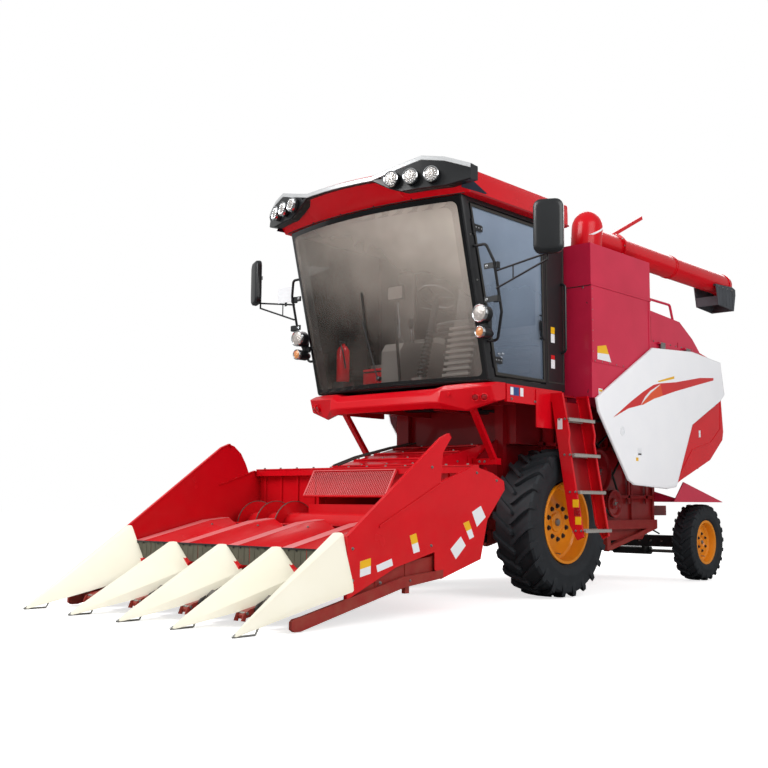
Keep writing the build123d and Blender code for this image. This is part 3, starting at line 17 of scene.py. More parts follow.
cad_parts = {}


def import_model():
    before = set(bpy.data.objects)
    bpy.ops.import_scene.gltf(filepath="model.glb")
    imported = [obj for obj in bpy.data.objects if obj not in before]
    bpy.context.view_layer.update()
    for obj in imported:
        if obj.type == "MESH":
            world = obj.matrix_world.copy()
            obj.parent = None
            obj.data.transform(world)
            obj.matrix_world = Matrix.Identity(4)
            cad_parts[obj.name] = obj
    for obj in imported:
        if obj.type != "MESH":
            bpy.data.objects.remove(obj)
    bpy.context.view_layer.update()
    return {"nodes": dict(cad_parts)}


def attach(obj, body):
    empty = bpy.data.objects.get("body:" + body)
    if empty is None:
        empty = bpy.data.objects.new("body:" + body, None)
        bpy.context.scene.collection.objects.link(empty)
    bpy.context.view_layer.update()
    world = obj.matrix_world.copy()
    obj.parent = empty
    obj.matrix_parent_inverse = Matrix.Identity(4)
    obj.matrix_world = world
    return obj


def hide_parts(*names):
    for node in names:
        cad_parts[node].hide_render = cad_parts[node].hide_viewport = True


LOG = logging.getLogger("harvester")

MM = 0.001
FRONT_AXLE_Y = 225.0  # the front axle, from the middle of the machine
SIDES = (-1, 1)  # the machine's right and left
Pair = tuple[float, float]
Triple = tuple[float, float, float]
Outline = Sequence[Pair]

LEFT: Triple = (1, 0, 0)
FRONT: Triple = (0, -1, 0)
REAR: Triple = (0, 1, 0)
UP: Triple = (0, 0, 1)


class Axis(Enum):
    """The direction that an outline is drawn out along."""

    X = 0
    Y = 1
    Z = 2


# --------------------------------------------------------------------------- helpers
def at(point: Sequence[float]) -> Vector:
    """Moves a point in millimetres from the front axle into the frame, in metres."""
    return Vector((point[0], point[1] + FRONT_AXLE_Y, point[2])) * MM


def linear(code: str) -> tuple[float, float, float, float]:
    """Turns an sRGB colour of six hex digits into the linear RGBA that sockets take.

    Args:
        code: red, green and blue, two hex digits each.

    Returns:
        The linear colour, opaque.
    """
    parts = [int(code[i : i + 2], 16) / 255 for i in (0, 2, 4)]
    light = [c / 12.92 if c <= 0.04045 else ((c + 0.055) / 1.055) ** 2.4 for c in parts]
    return (light[0], light[1], light[2], 1.0)


def rounded(points: Sequence[Triple], radius: float, steps: int = 4) -> list[Triple]:
    """Rounds the corners of an open run of points; a short leg gets a smaller bend.

    Args:
        points: the run, in millimetres.
        radius: radius of every bend.
        steps: straight steps in each bend.

    Returns:
        The run with its bends.
    """
    run: list[Triple] = [tuple(points[0])]
    for before, corner, after in zip(points, points[1:], points[2:]):
        here = Vector(corner)
        back, ahead = Vector(before) - here, Vector(after) - here
        reach = min(radius / math.tan(back.angle(ahead) / 2), back.length * 0.48, ahead.length * 0.48)
        start, end = here + back.normalized() * reach, here + ahead.normalized() * reach
        for t in (i / steps for i in range(steps + 1)):
            run.append(tuple(start * (1 - t) ** 2 + here * 2 * t * (1 - t) + end * t**2))
    run.append(tuple(points[-1]))
    return run


def polar(centre: Pair, radius: float, angle: float) -> Pair:
    """A point on a circle in an outline's own plane."""
    return (centre[0] + radius * math.cos(angle), centre[1] + radius * math.sin(angle))


def circle(centre: Pair, radius: float, count: int) -> list[Pair]:
    """Points round a circle in an outline's own plane."""
    return [polar(centre, radius, math.tau * i / count) for i in range(count)]


def rectangle(a0: float, b0: float, a1: float, b1: float) -> list[Pair]:
    """A rectangle's corners in an outline's own plane."""
    return [(a0, b0), (a1, b0), (a1, b1), (a0, b1)]


def along(table: Outline, x: float) -> float:
    """Reads a table of (place, value) pairs in straight steps.

    Args:
        table: the pairs, by rising place.
        x: where to read.

    Returns:
        The value there; past the last place it stays.
    """
    for (a, low), (b, high) in zip(table, table[1:]):
        if x <= b:
            return low + (high - low) * (x - a) / (b - a)
    return table[-1][1]


def place(point: Pair, axis: Axis, offset: float) -> Triple:
    """An outline's point in space, at its offset along the outline's axis.

    Args:
        point: the outline's two coordinates.
        axis: the axis that they leave out.
        offset: the place along it.

    Returns:
        The point.
    """
    spot = list(point)
    spot.insert(axis.value, offset)
    return tuple(spot)


def sweep(points: Sequence[Triple], outline: Outline) -> list[list[Triple]]:
    """Carries an outline along a run of points without twisting it.

    Args:
        points: the run, in millimetres.
        outline: corners across the run; its second coordinate starts upright.

    Returns:
        One loop at every point.
    """
    spots = [Vector(p) for p in points]
    loops = []
    up = Vector(UP)
    for i, spot in enumerate(spots):
        before = (spot - spots[i - 1]).normalized() if i else (spots[1] - spot).normalized()
        after = (spots[i + 1] - spot).normalized() if i + 1 < len(spots) else before
        heading = (before + after).normalized()
        side = heading.cross(up)
        side = side.normalized() if side.length > 1e-3 else heading.orthogonal().normalized()
        up = side.cross(heading).normalized()
        loops.append([tuple(spot + side * a + up * b) for a, b in outline])
    return loops


def add_object(name: str, data: bpy.types.ID) -> bpy.types.Object:
    """Makes an object of its data and puts it in the scene.

    Args:
        name: the object's name.
        data: its mesh or light.

    Returns:
        The object.
    """
    made = bpy.data.objects.new(name, data)
    bpy.context.scene.collection.objects.link(made)
    return made


# ------------------------------------------------------------------------- materials
class Graph:
    """A tree of shader nodes while it is put together."""

    def __init__(self, owner: bpy.types.ID) -> None:
        """Empties the tree of a material or a world.

        Args:
            owner: the material or world.
        """
        owner.use_nodes = True
        self.owner = owner
        self.tree = owner.node_tree
        self.tree.nodes.clear()

    def add(
        self, kind: str, settings: Optional[dict] = None, links: Optional[dict] = None, **options: object
    ) -> bpy.types.Node:
        """Adds one node.

        Args:
            kind: the node's type name, after its common beginning.
            settings: socket name or number to value.
            links: socket name or number to the output that feeds it.
            **options: the node's own options.

        Returns:
            The node.
        """
        made = self.tree.nodes.new("ShaderNode" + kind)
        for key, value in options.items():
            setattr(made, key, value)
        for key, value in (settings or {}).items():
            made.inputs[key].default_value = value
        for key, source in (links or {}).items():
            self.tree.links.new(source, made.inputs[key])
        return made

    def span(self, source: bpy.types.NodeSocket, **ends: float) -> bpy.types.NodeSocket:
        """Maps an output to another range; `ends` has its limits, such as to_min."""
        limits = {key.replace("_", " ").title(): value for key, value in ends.items()}
        return self.add("MapRange", limits, {"Value": source}).outputs["Result"]

    def texture(self, kind: str, size: float, **settings: float) -> bpy.types.Node:
        """A texture in the piece's own space, with features `size` millimetres across.

        Args:
            kind: the texture, as Blender names its node.
            size: in millimetres.
            **settings: values of its sockets.

        Returns:
            The texture node.
        """
        place_node = self.add("TexCoord")
        scale = {"Scale": 1 / (size * MM), **settings}
        return self.add("Tex" + kind, scale, {"Vector": place_node.outputs["Object"]})

    def noise(self, size: float, detail: float = 3.0) -> bpy.types.NodeSocket:
        """A noise pattern with features `size` millimetres across."""
        return self.texture("Noise", size, Detail=detail).outputs["Fac"]

    def axes(self) -> bpy.types.Node:
        """The piece's own coordinates in metres, one output each."""
        return self.add("SeparateXYZ", links={0: self.add("TexCoord").outputs["Object"]})

    def blend(self, share: bpy.types.NodeSocket, first: str, second: str) -> bpy.types.NodeSocket:
        """Mixes two colours by a share."""
        sockets = {6: linear(first), 7: linear(second)}
        return self.add("Mix", sockets, {0: share}, data_type="RGBA").outputs[2]

    def bump(self, height: bpy.types.NodeSocket, strength: float, depth: float) -> bpy.types.NodeSocket:
        """Raises a pattern by `depth` millimetres."""
        settings = {"Strength": strength, "Distance": depth * MM}
        return self.add("Bump", settings, {"Height": height}).outputs["Normal"]

    def feed(self, node: bpy.types.Node, **sources: bpy.types.NodeSocket) -> None:
        """Links outputs to a node's inputs, named with underscores for spaces."""
        for key, source in sources.items():
            self.tree.links.new(source, node.inputs[key.replace("_", " ")])


@dataclass(frozen=True)
class Finish:
    """What every finish has: a base colour broken up by two soft patterns, and a bump.

    `drift` is the size of the slow colour change and `grain` that of the fine surface
    texture, both in millimetres; `relief` is how deep the grain is.
    """

    name: str
    colour: str
    shade: str
    roughness: float
    spread: float = 0.08
    drift: float = 350.0
    grain: float = 6.0
    relief: float = 0.15
    metallic: float = 0.0
    coat: float = 0.0

    def build(self) -> bpy.types.Material:
        """Makes the material.

        Returns:
            The material.
        """
        graph = Graph(bpy.data.materials.new(self.name))
        basics = {"Metallic": self.metallic, "Coat Weight": self.coat, "Coat Roughness": 0.04}
        shader = graph.add("BsdfPrincipled", basics)
        graph.add("OutputMaterial", links={"Surface": shader.outputs["BSDF"]})
        self.dress(graph, shader)
        return graph.owner

    def dress(self, graph: Graph, shader: bpy.types.Node) -> bpy.types.NodeSocket:
        """Gives the shader its two-tone colour, its uneven gloss and its fine bump.

        Args:
            graph: the material's nodes.
            shader: its Principled shader.

        Returns:
            The mixed colour, for a finish that adds to it.
        """
        slow = graph.noise(self.drift)
        tone = graph.blend(slow, self.colour, self.shade)
        graph.feed(shader, Base_Color=tone)
        fine = graph.noise(self.grain)
        low, high = self.roughness - self.spread / 2, self.roughness + self.spread / 2
        graph.feed(shader, Roughness=graph.span(slow, to_min=low, to_max=high))
        graph.feed(shader, Normal=graph.bump(fine, 0.6, self.relief))
        return tone


@dataclass(frozen=True)
class Enamel(Finish):
    """Two-pack enamel sprayed on pressed sheet steel.

    The eye sees a wet clear gloss, faint orange peel, reflections that wave where the
    sheet isn't quite flat, and a little pale dust low down.
    """

    DUST_TOP: ClassVar[float] = 1.3  # metres over the ground where the dust begins to show
    DUST_LOW: ClassVar[float] = 0.1

    coat: float = 0.15
    shine: float = 0.22  # specular level: a little under the default, so the colour stays deep
    wave: float = 420.0  # distance between the soft dents of a flat sheet
    wave_depth: float = 1.6
    dust: str = "9C8468"
    dust_share: float = 0.10
    speck: float = 90.0

    def dress(self, graph: Graph, shader: bpy.types.Node) -> bpy.types.NodeSocket:
        """Adds the sheet's waves and its dust to the common colour and bump.

        Args:
            graph: the material's tree.
            shader: its main shader.

        Returns:
            The socket that carries the colour.
        """
        tone = super().dress(graph, shader)
        wide = graph.noise(self.wave, 0.0)
        fine_bump = shader.inputs["Normal"].links[0].from_node
        graph.feed(fine_bump, Normal=graph.bump(wide, 1.0, self.wave_depth))
        height = graph.axes().outputs["Z"]
        low = graph.span(height, from_min=self.DUST_TOP, from_max=self.DUST_LOW, to_max=self.dust_share)
        specks = graph.noise(self.speck, 5.0)
        share = graph.add("Math", links={0: low, 1: specks}, operation="MULTIPLY")
        links = {0: share.outputs[0], 6: tone}
        dusty = graph.add("Mix", {7: linear(self.dust)}, links, data_type="RGBA").outputs[2]
        graph.feed(shader, Base_Color=dusty)
        shader.inputs["Specular IOR Level"].default_value = self.shine
        return dusty


@dataclass(frozen=True)
class Pane(Finish):
    """Tempered tinted sheet glass: see-through, with a clear mirror-like surface.

    `haze` is how much of the pane's painted colour hides what is behind it, low on the pane,
    and `haze_top` the same at its top edge. The colour runs from `shade` at the foot to
    `colour` at the top: on the windshield, painted shade low down and a painted reflection
    of the sky as a pale band high up.
    """

    INDEX: ClassVar[float] = 1.52  # soda-lime glass
    BAND: ClassVar[float] = 0.75  # share of the painted colour that follows height; wisps take the rest

    haze: float = 0.5
    haze_top: float = 0.7
    low_z: float = 2.0
    top_z: float = 3.6
    gloss: float = 0.5  # specular level
    slant: float = 0.0  # how much the painted reflection band climbs towards the machine's left

    def dress(self, graph: Graph, shader: bpy.types.Node) -> bpy.types.NodeSocket:
        """Paints colour into the pane from its foot to its top, with faint wisps: on the windshield, painted
        shade and a painted reflection.

        Args:
            graph: the material's tree.
            shader: its main shader.

        Returns:
            The socket that carries the colour.
        """
        axes = graph.axes()
        links = {0: axes.outputs["X"], 2: axes.outputs["Z"]}
        level = graph.add("Math", {1: self.slant}, links, operation="MULTIPLY_ADD").outputs[0]
        height = graph.span(level, from_min=self.low_z, from_max=self.top_z)
        wisp = graph.noise(self.drift, 2.0)
        mixed = graph.add("Math", {1: self.BAND}, {0: height}, operation="MULTIPLY").outputs[0]
        links = {0: wisp, 2: mixed}
        share = graph.add("Math", {1: 1 - self.BAND}, links, operation="MULTIPLY_ADD").outputs[0]
        tone = graph.blend(share, self.shade, self.colour)
        graph.feed(shader, Base_Color=tone)
        graph.feed(shader, Alpha=graph.span(share, to_min=self.haze, to_max=self.haze_top))
        surface = {"Roughness": self.roughness, "Specular IOR Level": self.gloss, "IOR": self.INDEX}
        for name, value in surface.items():
            shader.inputs[name].default_value = value
        return tone


@dataclass(frozen=True)
class Lens(Finish):
    """Moulded clear polycarbonate lamp lens with pressed prisms over its reflector."""

    prism: float = 14.0
    prism_depth: float = 4.0

    def dress(self, graph: Graph, shader: bpy.types.Node) -> bpy.types.NodeSocket:
        """Puts the prisms in place of the common bump.

        Args:
            graph: the material's tree.
            shader: its main shader.

        Returns:
            The socket that carries the colour.
        """
        tone = super().dress(graph, shader)
        prisms = graph.texture("Voronoi", self.prism).outputs["Distance"]
        graph.feed(shader, Normal=graph.bump(prisms, 1.0, self.prism_depth))
        return tone


@dataclass(frozen=True)
class Weave(Finish):
    """Woven seat cloth: a plain weave drawn as coarse as it needs to show, with sheen."""

    thread: float = 9.0  # the real thread is under a millimetre; coarser so that it shows

    def dress(self, graph: Graph, shader: bpy.types.Node) -> bpy.types.NodeSocket:
        """Puts the weave in place of the common bump, and adds the sheen.

        Args:
            graph: the material's tree.
            shader: its main shader.

        Returns:
            The socket that carries the colour.
        """
        tone = super().dress(graph, shader)
        threads = graph.texture("Checker", self.thread).outputs["Fac"]
        graph.feed(shader, Normal=graph.bump(threads, 0.5, 0.8))
        shader.inputs["Sheen Weight"].default_value = 0.3
        return tone


class Palette:
    """Every finish on the machine, built once and handed out by name."""

    FINISHES: tuple[Finish, ...] = (
        # Signal-red gloss enamel on pressed steel: wet shine, faint orange peel.
        Enamel("red_gloss_enamel", "DA0A1C", "C60616", 0.26),
        # The same enamel on the tall upper skins, painted cooler and paler: a painted reflection of the sky.
        Enamel("weathered_red_enamel", "D22448", "BC1C3C", 0.3, shine=0.3),
        # The same enamel darkened as painted shade for the machine's shaded hull and undersides, with more
        # dust in it.
        Enamel("dull_red_enamel", "9E0C18", "860A14", 0.38, coat=0.25, dust_share=0.3),
        # White gloss enamel on the moulded side panels: clean, slightly cool.
        Enamel("white_gloss_enamel", "FAFAFC", "F1F2F6", 0.22, dust="C9BCA6"),
        # Orange-yellow enamel on the wheel discs, brushed thinner near the bolts.
        Enamel("yellow_wheel_enamel", "F2960C", "E08206", 0.34, coat=0.3, dust_share=0.2),
        # Black satin powder coat on tubes and brackets: even, soft highlights.
        Finish("black_powder_coat", "17181A", "202124", 0.42, grain=2.5, relief=0.08),
        # Rotationally moulded polyethylene dividers: cream, waxy, slightly mottled.
        Finish("cream_polyethylene", "FBF7E6", "F3EDD6", 0.38, grain=4.0, relief=0.2, coat=0.1),
        # Injection-moulded ABS of the visor and mirrors: black with a fine leather grain.
        Finish("black_abs_plastic", "101214", "1B1E21", 0.36, grain=3.0, relief=0.12, coat=0.15),
        # Tyre rubber, blue-black, matt, with dust held in its fine mould texture.
        Finish("tyre_rubber", "171B20", "262B30", 0.72, drift=120.0, grain=5.0, relief=0.5),
        # Black moulded rubber of flaps, mats and seals.
        Finish("moulded_rubber", "2B2B29", "3B3A36", 0.66, drift=90.0, grain=5.0, relief=0.3),
        # Dark grey rubberised canvas of the spout.
        Finish("grey_spout_rubber", "3A3D42", "4B4F55", 0.6, drift=160.0, grain=8.0, relief=0.6),
        # Hot-dip galvanised steel of treads, wires and skids: grey with soft spangle.
        Finish("galvanised_steel", "A9A9A6", "8D8E8C", 0.4, drift=25.0, metallic=0.9),
        # Turned mild steel, worn bright by the crop.
        Finish("worn_steel", "8F8B85", "5E5A55", 0.42, drift=60.0, metallic=0.85),
        # Cast iron of the rolls and gearboxes: dark, rough from the sand mould.
        Finish("cast_iron", "3E3B39", "2C2A29", 0.6, drift=40.0, grain=3.0, relief=0.5, metallic=0.4),
        # Hard chrome on the cylinder rods and lamp bowls.
        Finish("hard_chrome", "E8EAEC", "D9DCDF", 0.12, spread=0.04, metallic=1.0),
        # Silver-painted moulded strip along the visor's top edge.
        Finish("silver_trim", "DADCDD", "C6C8CA", 0.3, metallic=0.35, coat=0.4),
        # Laminated windshield: near black at its foot as painted shade over the cab's inside, pale towards
        # its top as a painted reflection of the sky.
        Pane(
            "windshield_painted_shade_and_reflection", "E6DCD0", "050505", 0.04, haze=0.12, haze_top=0.78,
            low_z=2.35, top_z=4.05, gloss=0.22, slant=0.5,
        ),
        # Blue-tinted tempered door glass.
        Pane("blue_door_glass", "A2B4CA", "5E6C80", 0.03, haze=0.34, haze_top=0.7),
        # Far side and rear windows as opaque near-black sheets: painted shade for the dark seen through the
        # cab.
        Pane("painted_shade_side_glass", "17181A", "0A0A0B", 0.05, haze=1.0, haze_top=1.0, gloss=0.12),
        # Baked black ceramic border printed round the windshield.
        Finish("black_ceramic_border", "0B0C0D", "141517", 0.18, coat=0.6),
        # Clear lamp lenses over bright bowls.
        Lens("clear_lamp_lens", "DCD6D0", "8A827C", 0.1, metallic=0.35, coat=1.0, drift=22.0),
        # Amber turn lamp lens.
        Lens("amber_lamp_lens", "E8A46A", "C87438", 0.12, coat=1.0, drift=22.0),
        # Mirror glass: silvered behind, dark sky in it.
        Finish("mirror_glass", "B9C2CA", "9AA5AE", 0.03, spread=0.01, metallic=1.0),
        # White, yellow, orange and red self-adhesive vinyl: blank plates and stripes.
        Finish("white_vinyl", "EDEEF0", "E2E4E8", 0.35),
        Finish("yellow_vinyl", "F2BE12", "E8AE0A", 0.35),
        Finish("orange_vinyl", "E4571B", "D8401A", 0.3),
        Finish("scarlet_vinyl", "D2201C", "C81A1E", 0.3),
        Finish("blue_vinyl", "2A4C8C", "203C74", 0.35),
        # Deep blue-black gloss: the roof's screws and hatch, and a patch on the roof's sides painted as the
        # lamp pod's shade.
        Enamel("blue_black_gloss", "0D1424", "101A30", 0.3, dust_share=0.1),
        # Fading dots printed inside the glass's black border: a paler grey-brown veil.
        Pane("frit_dots", "C8BEB6", "5A5550", 0.1, haze=0.02, haze_top=0.3),
        # Pale grey ribbed cloth of the cab's lining.
        Weave("pale_cab_cloth", "C4BDB5", "A8A19A", 0.75, thread=3.0),
        # Pale pink on the hoods' ridges and the screen's bars: a painted highlight of the sky.
        Enamel("hood_ridge_enamel", "F08C8E", "E67678", 0.3, dust_share=0.1),
        # Red lenses of the apron's lamps and the reflectors.
        Lens("scarlet_lamp_lens", "B4121A", "7C0A10", 0.15, coat=1.0, drift=14.0),
        # Pale galvanised tread plate, scuffed bright by boots.
        Finish(
            "pale_tread_steel", "C9C3BC", "A39D97", 0.42, drift=18.0, grain=6.0, relief=0.2,
            metallic=0.55,
        ),
        # Olive-grey rubber of the flaps between the dividers.
        Finish("olive_flap_rubber", "5E5B4B", "4A483B", 0.62, drift=90.0, grain=5.0, relief=0.3),
        # Grey moulded trim and cloth inside the cab.
        Finish("grey_cab_trim", "8E8882", "7A746F", 0.6, grain=3.0, relief=0.2),
        Weave("charcoal_seat_cloth", "3C3B3A", "2E2D2D", 0.8),
    )

    def __init__(self) -> None:
        """Builds every finish."""
        self.made = {finish.name: finish.build() for finish in self.FINISHES}

    def __getitem__(self, name: str) -> bpy.types.Material:
        """The material of that name."""
        return self.made[name]


# ----------------------------------------------------------------------- mesh making
class Piece:
    """One visible piece: shapes are gathered in one mesh, then it rides on its body."""

    def __init__(self, name: str, body: str, slot: str, *finishes: bpy.types.Material) -> None:
        """Starts an empty piece.

        Args:
            name: the piece's name.
            body: the body that it rides on.
            slot: the record's material slot; stored, but not used.
            *finishes: its materials; shapes name them by number.
        """
        self.name = name
        self.body = body
        self.slot = slot
        self.finishes = finishes
        self.mesh = bmesh.new()

    def face(self, corners: Sequence[bmesh.types.BMVert], finish: int) -> None:
        """Adds one face with its finish, unless its corners fall together."""
        if len(set(corners)) > 2:
            self.mesh.faces.new(corners).material_index = finish

    def loft(
        self, loops: Sequence[Sequence[Triple]], finish: int = 0, caps: bool = True, ring: bool = False,
    ) -> None:
        """Skins a run of loops that have equal point counts.

        Args:
            loops: points of each section, in millimetres.
            finish: which of the piece's materials.
            caps: whether the first and last loops are filled.
            ring: whether the last loop joins the first.
        """
        rows = [[self.mesh.verts.new(at(p)) for p in loop] for loop in loops]
        count = len(rows[0])
        pairs = list(zip(rows, rows[1:]))
        if ring:
            pairs.append((rows[-1], rows[0]))
        for low, high in pairs:
            for i in range(count):
                j = (i + 1) % count
                self.face((low[i], low[j], high[j], high[i]), finish)
        if caps and not ring:
            self.face(rows[0][::-1], finish)
            self.face(rows[-1], finish)

    def prism(self, outline: Outline, axis: Axis, start: float, end: float, finish: int = 0) -> None:
        """Draws an outline out along an axis, between two places on it."""
        self.loft([[place(p, axis, spot) for p in outline] for spot in sorted((start, end))], finish)

    def frame(
        self, outer: Outline, inner: Outline, axis: Axis, start: float, end: float, finish: int = 0,
    ) -> None:
        """A flat frame between two outlines with equal point counts.

        Args:
            outer: the outer outline.
            inner: the inner one.
            axis: the axis across the frame.
            start: one face along it.
            end: the other face.
            finish: which finish it takes.
        """
        start, end = sorted((start, end))
        sections = ((outer, start), (outer, end), (inner, end), (inner, start))
        self.loft([[place(p, axis, spot) for p in outline] for outline, spot in sections], finish, ring=True)

    def box(self, low: Triple, high: Triple, finish: int = 0) -> None:
        """A box between two opposite corners."""
        left, right = sorted((low[0], high[0]))
        self.prism(rectangle(left, low[1], right, high[1]), Axis.Z, low[2], high[2], finish)

    def tube(self, points: Sequence[Triple], radius: float, finish: int = 0, sides: int = 12) -> None:
        """A round bar along a run of points."""
        self.loft(sweep(points, circle((0, 0), radius, sides)), finish)

    def bar(self, points: Sequence[Triple], width: float, depth: float, finish: int = 0) -> None:
        """A flat bar along a run of points; its width lies across, its depth upright."""
        a, b = width / 2, depth / 2
        self.loft(sweep(points, rectangle(-a, -b, a, b)), finish)

    def turn(
        self, profile: Outline, centre: Triple, direction: Triple = LEFT, sides: int = 48, finish: int = 0,
    ) -> None:
        """Turns a closed profile about a line.

        Args:
            profile: corners as distance along the line and radius.
            centre: where the line's zero is.
            direction: the line's direction.
            sides: steps round the turn.
            finish: which of the piece's materials.
        """
        line = Vector(direction).normalized()
        side = line.orthogonal().normalized()
        up = line.cross(side)
        loops = []
        for angle in (math.tau * i / sides for i in range(sides)):
            out = side * math.cos(angle) + up * math.sin(angle)
            loops.append([tuple(Vector(centre) + line * a + out * max(r, 0.0)) for a, r in profile])
        self.loft(loops, finish, ring=True)

    def disc(
        self, height: float, radius: float, centre: Triple, direction: Triple, sides: int, finish: int = 0,
    ) -> None:
        """A plain round disc or pin."""
        self.turn([(0, 0), (0, radius), (height, radius), (height, 0)], centre, direction, sides, finish)

    def bolt(self, centre: Triple, direction: Triple, size: float, finish: int = 0) -> None:
        """A hexagon bolt head on its washer, `size` across the flats.

        Args:
            centre: where the washer sits.
            direction: where the head points.
            size: in millimetres.
            finish: which finish it takes.
        """
        lift = Vector(direction).normalized() * size * 0.1
        self.disc(size * 0.12, size * 0.85, centre, direction, 12, finish)
        self.disc(size * 0.6, size * 0.58, tuple(Vector(centre) + lift), direction, 6, finish)

    def bolts(self, spots: Iterable[Triple], direction: Triple, size: float, finish: int = 0) -> None:
        """A row of bolts."""
        for spot in spots:
            self.bolt(spot, direction, size, finish)

    def both_sides(self) -> None:
        """Adds the mirror image in the machine's centre plane."""
        geometry = self.mesh.verts[:] + self.mesh.edges[:] + self.mesh.faces[:]
        copy = bmesh.ops.duplicate(self.mesh, geom=geometry)["geom"]
        verts = [item for item in copy if isinstance(item, bmesh.types.BMVert)]
        bmesh.ops.scale(self.mesh, vec=(-1, 1, 1), verts=verts)

    def lower(self, front: float, rear: float, drop: float) -> None:
        """Leans the piece down by `drop` at y `front`, and not at all behind y `rear`.

        Args:
            front: where the drop is whole.
            rear: where it ends.
            drop: in millimetres.
        """
        near, far = at((0, front, 0)).y, at((0, rear, 0)).y
        for vert in self.mesh.verts:
            share = min(1.0, max(0.0, (far - vert.co.y) / (far - near)))
            vert.co.z -= drop * share * MM

    def make(self, bevel: float = 0.0, crease: float = 32.0, replaces: Iterable[str] = ()) -> None:
        """Turns the mesh into an object that rides on its body.

        Args:
            bevel: width of the rounded edges in millimetres.
            crease: edges sharper than this many degrees stay crisp.
            replaces: CAD nodes that it stands for.
        """
        bmesh.ops.remove_doubles(self.mesh, verts=self.mesh.verts, dist=1e-6)
        bmesh.ops.recalc_face_normals(self.mesh, faces=self.mesh.faces)
        data = bpy.data.meshes.new(self.name)
        self.mesh.to_mesh(data)
        self.mesh.free()
        data.polygons.foreach_set("use_smooth", [True] * len(data.polygons))
        data.set_sharp_from_angle(angle=math.radians(crease))
        for finish in self.finishes:
            data.materials.append(finish)
        made = add_object(self.name, data)
        if bevel:
            edge = made.modifiers.new("rounded_edges", "BEVEL")
            edge.width = bevel * MM
            edge.segments = 2
            edge.limit_method = "ANGLE"
            edge.angle_limit = math.radians(crease)
        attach(made, self.body)
        if replaces:
            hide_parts(*replaces)
        LOG.info("%s: %d faces on %s", self.name, len(data.polygons), self.body)


@dataclass
class Assembly:
    """A group of pieces that take their finishes from one palette."""

    palette: Palette

    def piece(self, name: str, slot: str, finishes: str, body: str = "chassis") -> Piece:
        """Starts a piece; its finishes are named in one line, with spaces between."""
        return Piece(name, body, slot, *(self.palette[finish] for finish in finishes.split()))

    def build(self) -> None:
        """Builds every piece of the group."""
        raise NotImplementedError


# ---------------------------------------------------------------------------- studio
@dataclass
class Studio:
    """Floor, lamps, sky and camera: a pale room with soft light and no backdrop seams."""

    camera_spot: Triple = (6855.0, -8925.0, 905.0)
    azimuth: float = 42.023
    climb: float = 6.259
    roll: float = 0.422
    lens: float = 50.207
    sky: float = 0.45
    floor_size: float = 120000.0
    floor_lift: float = 0.68  # own light that brings the lit floor up to white

    LAMPS: ClassVar[tuple[tuple[str, Triple, Triple, float, float], ...]] = (
        # name, where it stands, the point that it faces, edge in metres, power in watts
        ("key_lamp", (-3500, -9500, 9000), (0, -500, 1500), 6.0, 950.0),
        ("fill_lamp", (9500, -2800, 6500), (0, 700, 1500), 7.0, 500.0),
        ("cab_dome_lamp", (0, -700, 3560), (100, -650, 2000), 0.9, 16.0),
        ("back_lamp", (-3000, 9500, 8500), (0, 1500, 1500), 7.0, 420.0),
    )

    def camera(self) -> None:
        """Sets the camera at the front left of the machine, looking slightly up."""
        data = bpy.data.cameras.new("camera")
        data.lens = self.lens
        data.sensor_width = 36.0
        data.clip_end = 400.0
        made = add_object("camera", data)
        spin = ((self.azimuth, "Z"), (90 + self.climb, "X"), (self.roll, "Z"))
        turn, tilt, bank = (Matrix.Rotation(math.radians(angle), 4, axis) for angle, axis in spin)
        made.matrix_world = Matrix.Translation(at(self.camera_spot)) @ turn @ tilt @ bank
        bpy.context.scene.camera = made

    def floor(self) -> None:
        """A wide pale floor that keeps the machine's shadow; gloss sees it darker than it is."""
        mesh = bmesh.new()
        bmesh.ops.create_grid(mesh, x_segments=8, y_segments=8, size=self.floor_size / 2 * MM)
        data = bpy.data.meshes.new("floor")
        mesh.to_mesh(data)
        mesh.free()
        graph = Graph(bpy.data.materials.new("pale_studio_floor"))
        rays = graph.add("LightPath").outputs
        matt = graph.add("BsdfDiffuse", {"Color": linear("E6E6E6")}).outputs[0]
        glow = {"Color": linear("FFFFFF"), "Strength": self.floor_lift}
        lift = graph.add("Emission", glow).outputs[0]
        both = graph.add("AddShader", links={0: matt, 1: lift}).outputs[0]
        dim = graph.add("BsdfDiffuse", {"Color": linear("6A6A6A")}).outputs[0]
        lit = graph.add("MixShader", links={0: rays["Is Glossy Ray"], 1: matt, 2: dim}).outputs[0]
        mixed = graph.add("MixShader", links={0: rays["Is Camera Ray"], 1: lit, 2: both})
        graph.add("OutputMaterial", links={"Surface": mixed.outputs[0]})
        data.materials.append(graph.owner)
        add_object("floor", data)

    def world(self) -> None:
        """A plain sky: white to the camera and through glass, dimmer as light and in gloss."""
        bpy.context.scene.world = bpy.data.worlds.new("studio_sky")
        graph = Graph(bpy.context.scene.world)
        rays = graph.add("LightPath").outputs
        links = {0: rays["Is Camera Ray"], 1: rays["Is Transmission Ray"]}
        seen = graph.add("Math", links=links, operation="MAXIMUM").outputs[0]
        strength = graph.span(seen, to_min=self.sky, to_max=1.0)
        light = graph.add("Background", {"Color": linear("FFFFFF")}, {"Strength": strength})
        graph.add("OutputWorld", links={"Surface": light.outputs[0]})

    def lamp(self, name: str, spot: Triple, aim: Triple, size: float, power: float) -> None:
        """Adds one soft square lamp; see LAMPS for what each value is.

        Args:
            name: the lamp's name.
            spot: where it hangs.
            aim: where it points.
            size: its side in metres.
            power: in watts.
        """
        data = bpy.data.lights.new(name, "AREA")
        data.size = size
        data.energy = power
        made = add_object(name, data)
        made.location = at(spot)
        made.rotation_mode = "QUATERNION"
        made.rotation_quaternion = (at(aim) - at(spot)).to_track_quat("-Z", "Y")

    def build(self) -> None:
        """Sets the whole studio."""
        bpy.context.scene.view_settings.view_transform = "Standard"
        self.camera()
        self.floor()
        self.world()
        for row in self.LAMPS:
            self.lamp(*row)


